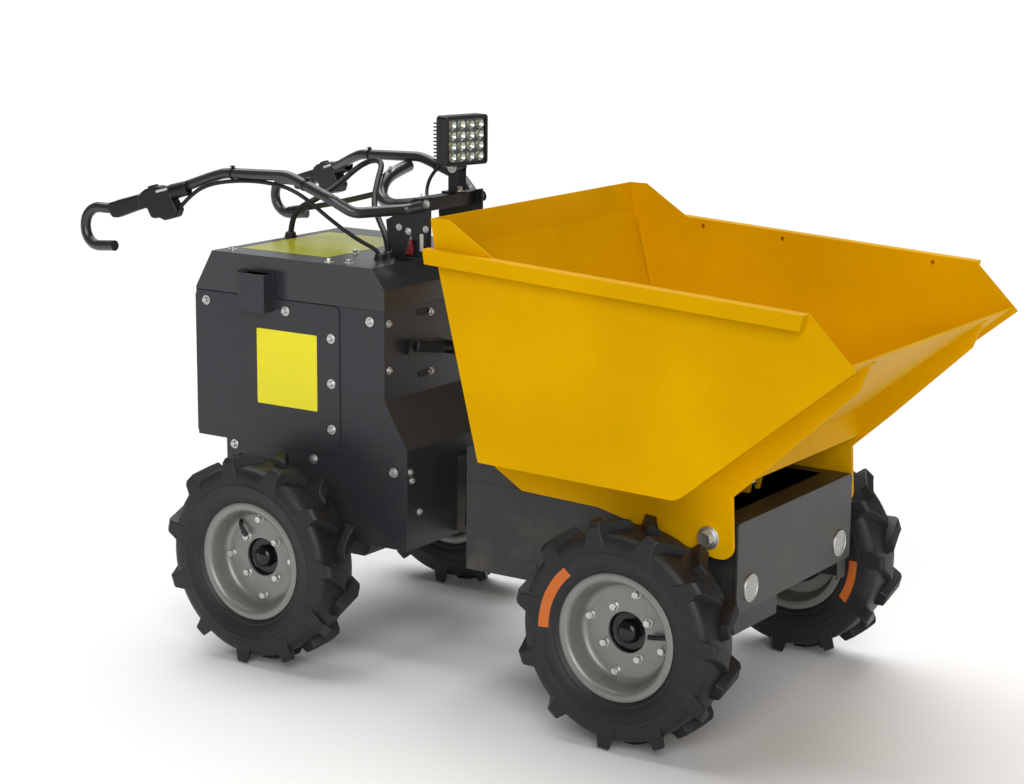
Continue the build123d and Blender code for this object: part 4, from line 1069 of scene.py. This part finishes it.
class DUMPER_OT_controls(DumperOperator, bpy.types.Operator):
    """Dress the switch housings, hand levers, travel lever, stop button and brackets"""
    bl_idname = "dumper.controls"
    bl_label = "Controls"

    # side views along the grip's run from where it starts, and square to it
    HOUSING = [
        # along, up
        (44, -17), (33, -17), (30, -36), (24, -41), (11, -42), (2, -50), (-24, -50), (-34, -38),
        (-27, -13), (-27, 13), (-10, 15), (0, 19), (26, 19), (40, 14),
    ]
    LEVER = [(123, 2), (117, 12), (44, 12), (44, -17), (60, -17.5), (104, -21), (117, -18)]

    def moulding(self, outline, half_width, edge):
        """A moulded body from its side view: along Y, up Z, with well-rounded edges."""
        piece = fresh(
            bpy.ops.mesh.primitive_circle_add, vertices=len(outline), fill_type="NGON")
        for vertex, (ahead, up) in zip(piece.data.vertices, outline):
            vertex.co = Vector((-half_width, ahead, up)) * MM
        every(piece)
        bpy.ops.mesh.extrude_region_move(
            TRANSFORM_OT_translate={"value": (2 * half_width * MM, 0, 0)})
        bpy.ops.mesh.select_all(action="SELECT")
        bpy.ops.mesh.normals_make_consistent(inside=False)
        object_mode()
        return rounded_edges(piece, edge * MM, 4, 20)

    def housings(self):
        """Switch housing, thumb switch, sleeve and hand lever on each handlebar."""
        for side in (-1, 1):
            hand = "left" if side > 0 else "right"
            start, end = (
                Vector((x, side * y, z)) for x, y, z in BAR_ROUTE[GRIP_RUN:GRIP_RUN + 2])
            run = (end - start).normalized()
            up = (Vector((0, 0, 1)) - run * run.z).normalized()
            stand = shift(start) @ Matrix((run.cross(up), run, up)).transposed().to_4x4()
            case = self.moulding(self.HOUSING, 15, 5)
            rocker = block((-6, 4, 15), (6, 24, 23), 2.4, 3)
            sleeve = spun([(-62, 11), (-62, 13.4), (-58, 14.4), (-24, 15.4), (-24, 11)], 32)
            for part, name, finish, node in (
                (joined([case, rocker, sleeve]), "switch_housing", "plastic", "lever_housings"),
                (self.moulding(self.LEVER, 13, 5), "hand_lever", "plastic", "hand_levers"),
                (block((-15.6, -24, 6), (-14.4, 2, 11), 0.3), "housing_strip", "zinc", None),
            ):
                done(moved(part, stand), f"{name}_{hand}", finish, "rear",
                     [node] if node and side > 0 else [], 50 if node else 32)

    def stop(self):
        """A mushroom stop button in its black collar."""
        low, high = box_mm("stop_button")
        middle = (low + high) / 2
        rise = high.z - low.z
        section = [
            (0, 0), (0, 16), (11, 16), (13.4, 14.6), (14, 12), (14, 9), (20, 9), (21.4, 11),
            (22.4, 18), (25, 19), (29, 18.4), (rise - 2, 14), (rise, 7), (rise, 0),
        ]
        stand = shift((middle.x, middle.y, low.z)) @ Matrix.Rotation(radians(90), 4, "X")
        button = moved(spun(section, 40, False), stand)
        done(button, "stop_button_turned", "red", "rear", ["stop_button"], 40)
        collar = disc(17.5, 11, (middle.x, middle.y, low.z + 5.5), 40)
        chosen(collar, "FACE", lambda point, normal: normal.z > 0.9)
        bpy.ops.mesh.inset(thickness=2 * MM, depth=0.8 * MM)
        object_mode()
        done(collar, "stop_button_collar", "plastic", "rear")

    def travel_lever(self):
        rod = tube(LEVER_ROUTE, 6, sides=5)
        done(rod, "travel_lever_rod", "handle", "rear", ["centre_lever"], 50)
        end, tip = Vector(LEVER_ROUTE[-1]), Vector(LEVER_END)
        reach = (tip - end).length
        section = [
            (-14, 0), (-14, 6), (-12, 7.6), (4, 8.2), (reach - 8, 8.8), (reach - 2, 7),
            (reach, 3), (reach, 0),
        ]
        knob = moved(spun(section, 24, False), along(end, tip - end))
        done(knob, "travel_lever_knob", "plastic", "rear", smooth=50)

    def execute(self, context):
        self.housings()
        dressed("handle_brackets", self.sizes.sheet_edge, "black")
        dressed("cross_beam", self.sizes.casting_edge, "black")
        self.stop()
        self.travel_lever()
        bracket_y = -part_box("handle_brackets")[0].y / MM
        bolts("bracket_bolts", 7, [
            ((x, side * bracket_y, z), (0, side, 0))
            for side in (-1, 1) for x, z in ((-162, 831), (-225, 830), (-203, 824))
        ], "rear")
        bolts("bracket_clamp_bolts", 9, [
            ((-161, side * bracket_y, 879), (0, side, 0)) for side in (-1, 1)
        ], "rear")
        catch = joined([
            block((-200, -98, 784), (-186, -92, 808), 2),
            block((-204, -97, 780), (-190, -93, 788), 1.2),
        ])
        chosen(catch, "VERT", lambda point: point.z > 803)
        bpy.ops.transform.resize(value=(0.4, 1, 1), center_override=(-192 * MM, 0, 0))
        object_mode()
        done(catch, "hood_catch", "red", "rear")
        hook = block((-166, -104, 790), (-158, -101, 824), 0.8)
        done(hook, "hood_catch_hook", "zinc", "rear")
        return {"FINISHED"}


class DUMPER_OT_cables(DumperOperator, bpy.types.Operator):
    """Lay the held cables and the hose along their routes"""
    bl_idname = "dumper.cables"
    bl_label = "Cables"

    def execute(self, context):
        for node, radius, route in CABLES:
            done(tube(route, radius, sides=5), f"{node}_line", "sleeve", "rear", [node], 60)
        return {"FINISHED"}


class DUMPER_OT_lamp(DumperOperator, bpy.types.Operator):
    """Build the work lamp: finned case, bezel, lens cells, glass and bracket"""
    bl_idname = "dumper.lamp"
    bl_label = "Work lamp"

    def execute(self, context):
        half_w, half_h = (size / 2 for size in LAMP_FACE)
        place = shift(LAMP_PLACE) @ Matrix.Rotation(radians(LAMP_TURN), 4, "Z")
        case = hollowed(
            rounded_plate((12, -half_w, -half_h), (LAMP_D, half_w, half_h), 7, 1.6),
            lambda middle, normal: normal.x > 0.9 and middle.x > LAMP_D - 1, 5, (-12, 0, 0),
        )
        fins = [
            block((-2, -half_w + 4, z - 1.3), (14, half_w - 4, z + 1.3), 0.5, 1)
            for z in range(-38, 39, 7)
        ]
        back = block((7, -half_w + 5, -half_h + 6), (13, half_w - 5, half_h - 6), 2)
        done(moved(joined([case, back, *fins]), place), "work_lamp_case", "plastic", "rear",
             ["work_lamp"])

        pitch_y, pitch_z = ((size - 14) / LAMP_CELLS for size in LAMP_FACE)
        cup = modify(fresh(
            bpy.ops.mesh.primitive_cone_add,
            vertices=20, radius1=3.4 * MM, radius2=pitch_z * 0.47 * MM, depth=6.4 * MM,
            end_fill_type="NOTHING", rotation=(0, radians(90), 0), location=(35.5 * MM, 0, 0),
        ), "SOLIDIFY", thickness=0.5 * MM)
        chip = fresh(
            bpy.ops.mesh.primitive_uv_sphere_add,
            segments=16, ring_count=8, radius=4.6 * MM, location=(33.4 * MM, 0, 0),
        )
        every(chip)
        bpy.ops.transform.resize(value=(0.55, 1, 1), center_override=(33 * MM, 0, 0))
        object_mode()
        steps = [step - (LAMP_CELLS - 1) / 2 for step in range(LAMP_CELLS)]
        cells = [
            place @ shift((0, column * pitch_y, row * pitch_z))
            for column in steps for row in steps
        ]
        cups = [copied(cup, cell) for cell in cells]
        chips = [copied(chip, cell) for cell in cells]
        removed(cup, chip)
        done(joined(cups), "work_lamp_mirrors", "mirror", "rear", smooth=50)
        done(joined(chips), "work_lamp_chips", "chip", "rear", smooth=60)
        half_w, half_h = half_w - 5.2, half_h - 5.2
        glass = rounded_plate((39.4, -half_w, -half_h), (41.4, half_w, half_h), 5, 0.4)
        done(moved(glass, place), "work_lamp_glass", "lens", "rear", ["lamp_lens"])

        low, high = box_mm("lamp_bracket")
        foot = block(low, (high.x, high.y, low.z + 4), 1.2)
        x, y = LAMP_PLACE[0] + 12, LAMP_PLACE[1]
        arms = [
            block((x - 12, arm - 2, low.z), (x + 8, arm + 2, high.z + 8), 1)
            for arm in (y - 15, y + 15)
        ]
        done(joined([foot, *arms]), "lamp_fork", "black", "rear", ["lamp_bracket"])
        knuckle = spun([(-13, 0), (-13, 9), (13, 9), (13, 0)], 24, False)
        done(moved(knuckle, shift((x - 2, y, high.z - 6))), "lamp_knuckle", "plastic", "rear")
        bolts("lamp_bolts", 11, [
            ((x - 2, y - 17, high.z - 6), (0, -1, 0)), ((x - 2, y + 17, high.z - 6), (0, 1, 0)),
            ((x + 4, y, low.z + 4), (0, 0, 1)),
        ], "rear")
        return {"FINISHED"}


class DUMPER_OT_bucket(DumperOperator, bpy.types.Operator):
    """Dress the bucket and lay its weld beads"""
    bl_idname = "dumper.bucket"
    bl_label = "Bucket"

    # outer line of the floor, from the top of the rear wall to the lip, and the floor's inset
    LINE = [(40, 838), (134, 468), (539, 457), (859, 718)]
    INSET = 9

    def ribs(self):
        """Hinge plates with a well-rounded lower front corner."""
        ribs = mesh_of("bucket_ribs")
        for side in (-1, 1):
            for y in HINGE_FACES:
                gathered(ribs, lambda point: (
                    abs(point.y - side * y) < 1 and point.x > 560 and point.z < 372
                ), (596, side * y, 336))
        chosen(ribs, "EDGE", lambda middle, run: (
            abs(run.y) > 0.9 and middle.x > 580 and middle.z < 345))
        bpy.ops.mesh.bevel(offset=26 * MM, segments=7, affect="EDGES")
        object_mode()
        dressed("bucket_ribs", self.sizes.casting_edge, "bucket", piece=ribs)

    def cross_plates(self):
        """Cross plates, the front one with its lower edge cut up over the deck's opening."""
        plates = pushed(
            mesh_of("bucket_cross"), lambda point: point.x > 590 and point.z < 425, (0, 0, 51))
        dressed("bucket_cross", self.sizes.sheet_edge, "bucket", piece=plates)

    def bead(self, line, y, radius):
        """A weld bead along an (x, z) line at one y."""
        points = [Vector((x, y, z)) for x, z in line]
        first, last = points[0].lerp(points[1], 0.04), points[-1].lerp(points[-2], 0.04)
        return bent_tube([first, *points[1:-1], last], [26] * (len(points) - 2), radius, 3)

    def execute(self, context):
        for side, node in ((-1, "bucket_side_right"), (1, "bucket_side_left")):
            plate = mesh_of(node)
            # only the outer face comes to a point at its lower rear corner
            gathered(plate, lambda point: (
                abs(abs(point.y) - BUCKET_SIDE_Y) < 1 and point.x < 190 and point.z < 520
            ), (134, side * BUCKET_SIDE_Y, 467))
            dressed(node, self.sizes.sheet_edge, "bucket", piece=plate)
        for node in ("bucket_shell", "bucket_rails"):
            dressed(node, self.sizes.sheet_edge, "bucket")
        self.ribs()
        self.cross_plates()
        weld = self.sizes.weld / MM
        low_line, high_line, hinge_line = (
            offset_line(self.LINE, self.INSET + step) for step in (-0.4, 3.4, -0.6))
        beads = []
        for side in (-1, 1):
            inner_y = side * (BUCKET_SIDE_Y - 3) - side * 0.4
            beads += [self.bead(line, inner_y, weld) for line in (low_line, high_line)]
            beads += [self.bead(hinge_line[1:], side * y, weld * 0.9) for y in HINGE_FACES]
        done(joined(beads), "bucket_welds", "bucket", "bucket", smooth=60)
        return {"FINISHED"}


class DUMPER_OT_tipping(DumperOperator, bpy.types.Operator):
    """Dress the tipping cylinder and the hinge pins with their bolts"""
    bl_idname = "dumper.tipping"
    bl_label = "Tipping gear"

    def execute(self, context):
        dressed("cylinder_barrel", self.sizes.casting_edge, "black", 40)
        dressed("cylinder_rod", self.sizes.sheet_edge, "chrome", 40)
        section = [
            (221, 0), (221, 11), (222, 12), (239.4, 12), (239.4, 20), (240.2, 20.8),
            (242.6, 20.8), (243.4, 20), (243.4, 0),
        ]
        pins = []
        for side in (-1, 1):
            up = Vector((0, side, 0))
            pins += [
                moved(spun(section, 36, False), shift(TIP) @ mirrored(side)),
                moved(hex_bolt(25, 0.4, 0.68), at(TIP + up * 243.2, up, 12)),
            ]
        done(joined(pins), "hinge_bolts", "zinc", BODY_OF["tip_pins"], ["tip_pins"])
        return {"FINISHED"}


class DUMPER_OT_chassis(DumperOperator, bpy.types.Operator):
    """Dress the front chassis, its axle, deck and reflectors"""
    bl_idname = "dumper.chassis"
    bl_label = "Front chassis"

    def cheeks(self):
        """Raised rear ends of the side plates, and flush caps on the cylinder's lower pin."""
        inner, outer = CHASSIS_FACES
        x, z = LOWER_PIN
        section = [(-5, 0), (-5, 12), (0.6, 12), (1.2, 11.4), (1.2, 0)]
        cheeks, caps = [], []
        for side in (-1, 1):
            near, far = sorted((side * inner, side * outer))
            cheeks.append(pushed(
                block((25, near, 399), (200, far, 458)),
                lambda point: point.x > 100 and point.z > 450, (-76, 0, 0),
            ))
            cap = spun(section, 32, False)
            caps.append(moved(cap, shift((x, side * outer, z)) @ mirrored(side)))
        done(rounded_edges(joined(cheeks), self.sizes.sheet_edge), "chassis_cheeks", "chassis",
             "front")
        done(joined(caps), "cylinder_pin_caps", "chassis", "front")

    def reflectors(self):
        low, high = box_mm("front_lamps")
        middle_y, z = high.y - 25, (low.z + high.z) / 2
        rim = spun([
            (0, 20), (0, 25), (2.4, 25), (3.2, 24.4), (3.2, 23.6), (2.4, 23), (1, 22.6),
        ], 44)
        lens = spun([(0, 0), (0, 23.4), (2.6, 23.2), (4, 18), (4.7, 9), (4.9, 0)], 44, False)
        turned = Matrix.Rotation(radians(-90), 4, "Z")
        for part, name, finish, stands_for in (
            (rim, "reflector_rims", "zinc", []),
            (lens, "reflector_lenses", "reflector", ["front_lamps"]),
        ):
            twins = [
                copied(part, shift((FRONT_FACE_X, side * middle_y, z)) @ turned)
                for side in (-1, 1)
            ]
            removed(part)
            done(joined(twins), name, finish, "front", stands_for, 40)

    def execute(self, context):
        sheet, thick = self.sizes.sheet_edge, self.sizes.casting_edge
        for node, edge, finish in (
            ("front_frame", sheet, "chassis"), ("front_plate", thick, "chassis"),
            ("front_deck", sheet, "chassis"), ("front_apron", sheet, "black"),
            ("front_axle", thick, "black"), ("pivot_post", thick, "chassis"),
        ):
            dressed(node, edge, finish)
        self.reflectors()
        self.cheeks()
        rear_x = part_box("front_frame")[0].x / MM
        bolts("chassis_bolts", 9, [
            ((rear_x, y, z), (-1, 0, 0)) for z in (387, 278) for y in (-205, 205)
        ], "front")
        return {"FINISHED"}


class DUMPER_OT_stickers(DumperOperator, bpy.types.Operator):
    """Put blank stickers on three sidewalls"""
    bl_idname = "dumper.stickers"
    bl_label = "Tyre stickers"

    PLACES = [
        # wheel, side of the tyre, angle, spread, inner and outer radius, finish
        ("front_right", -1, 156, 50, 131, 149, "sticker"),
        ("front_left", -1, -14, 34, 130, 149, "sticker"),
        ("rear_left", -1, 200, 60, 122, 149, "sticker_red"),
    ]

    def execute(self, context):
        for wheel, side, angle, spread, inner, outer, finish in self.PLACES:
            section = [(y + 0.15, r) for y, r in TYRE_SECTION if inner <= r <= outer]
            patch = self.strip(section, angle, spread)
            done(moved(patch, middle_of(f"tyre_{wheel}") @ mirrored(side)),
                 f"tyre_sticker_{wheel}", finish, f"wheel_{wheel}")
        return {"FINISHED"}

    def strip(self, section, angle, spread):
        """A thin skin over part of a sidewall, centred on an angle from +X up."""
        piece = swept(section, 14, radians(spread))
        object_mode()
        # the section starts straight up; turn its middle to the asked angle
        moved(piece, Matrix.Rotation(radians(90 - angle + spread / 2), 4, "Y"))
        return modify(piece, "SOLIDIFY", thickness=0.25 * MM, offset=1)


class DUMPER_OT_stage(DumperOperator, bpy.types.Operator):
    """Lay the pale floor and set the soft lights and the camera"""
    bl_idname = "dumper.stage"
    bl_label = "Stage"

    LIGHTS = [
        # name, direction towards the light, spread in degrees, strength
        ("top_light", (-0.28, 0.3, 1), 60, 2.62),
        ("side_light", (0.5, -0.74, 0.46), 46, 1.95),
        ("back_light", (-0.7, 0.75, 0.5), 60, 0.3),
    ]
    AMBIENT = 0.12
    CAMERA = (2.382, -3.618, 1.439)
    AZIMUTH, DROP, ROLL = 33.598, 11.988, 0.457
    LENS = 80.9

    def floor(self):
        finish = Finish("studio_floor")
        tone = finish.noise(0.6, 2)
        finish.feed("Base Color", finish.mix(tone, (0.86, 0.86, 0.86, 1), (0.88, 0.88, 0.88, 1)))
        finish.feed("Roughness", tone * 0.1 + 0.7)
        floor = fresh(bpy.ops.mesh.primitive_plane_add, size=60)
        floor.name = "studio_floor"
        floor.data.materials.append(finish.material)

    def lights(self):
        world = bpy.data.worlds.new("studio")
        world.use_nodes = True
        tree = world.node_tree
        # the walls of the studio look white, and give only a little light of their own
        seen = tree.nodes.new("ShaderNodeLightPath")
        strength = tree.nodes.new("ShaderNodeMapRange")
        strength.inputs["To Min"].default_value = self.AMBIENT
        strength.inputs["To Max"].default_value = 1.05
        tree.links.new(seen.outputs["Is Camera Ray"], strength.inputs["Value"])
        background = tree.nodes["Background"]
        background.inputs["Color"].default_value = (1, 1, 1, 1)
        tree.links.new(strength.outputs["Result"], background.inputs["Strength"])
        bpy.context.scene.world = world
        for name, towards, spread, strength in self.LIGHTS:
            bpy.ops.object.light_add(type="SUN", location=Vector(towards) * 5)
            light = bpy.context.object
            light.name = name
            light.rotation_euler = Vector(towards).to_track_quat("Z", "Y").to_euler()
            light.data.angle = radians(spread)
            light.data.energy = strength

    def camera(self):
        azimuth, drop, roll = (radians(angle) for angle in (self.AZIMUTH, self.DROP, self.ROLL))
        ahead = Vector((-sin(azimuth) * cos(drop), cos(azimuth) * cos(drop), -sin(drop)))
        right = Vector((cos(azimuth), sin(azimuth), 0))
        up = right.cross(ahead)
        right, up = right * cos(roll) + up * sin(roll), up * cos(roll) - right * sin(roll)
        bpy.ops.object.camera_add(location=self.CAMERA)
        camera = bpy.context.object
        camera.rotation_euler = Matrix((right, up, -ahead)).transposed().to_euler()
        camera.data.sensor_width = 36
        camera.data.lens = self.LENS
        camera.data.clip_end = 100
        bpy.context.scene.camera = camera

    def execute(self, context):
        context.scene.view_settings.view_transform = "Standard"
        self.floor()
        self.lights()
        self.camera()
        return {"FINISHED"}


OPERATORS = [
    DUMPER_OT_finishes, DUMPER_OT_stage, DUMPER_OT_wheels, DUMPER_OT_stickers, DUMPER_OT_body,
    DUMPER_OT_body_details, DUMPER_OT_handlebars, DUMPER_OT_controls, DUMPER_OT_cables,
    DUMPER_OT_lamp, DUMPER_OT_bucket, DUMPER_OT_tipping, DUMPER_OT_chassis,
]


class DUMPER_PT_panel(bpy.types.Panel):
    """The dumper's settings and its operators"""
    bl_idname = "DUMPER_PT_panel"
    bl_label = "Dumper"
    bl_space_type = "VIEW_3D"
    bl_region_type = "UI"
    bl_category = "Dumper"

    def draw(self, context):
        for group in (context.scene.dumper_colours, context.scene.dumper_sizes):
            column = self.layout.column()
            for name in group.__annotations__:
                column.prop(group, name)
        for operator in OPERATORS:
            self.layout.operator(operator.bl_idname)


CLASSES = [DumperColours, DumperSizes, *OPERATORS, DUMPER_PT_panel]


def register():
    for item in CLASSES:
        bpy.utils.register_class(item)
    bpy.types.Scene.dumper_colours = bpy.props.PointerProperty(type=DumperColours)
    bpy.types.Scene.dumper_sizes = bpy.props.PointerProperty(type=DumperSizes)


def unregister():
    del bpy.types.Scene.dumper_sizes
    del bpy.types.Scene.dumper_colours
    for item in reversed(CLASSES):
        bpy.utils.unregister_class(item)


def main():
    """Dresses the whole machine."""
    register()
    for operator in OPERATORS:
        getattr(bpy.ops.dumper, operator.bl_idname.split(".")[1])()


if __name__ == "__main__":
    main()
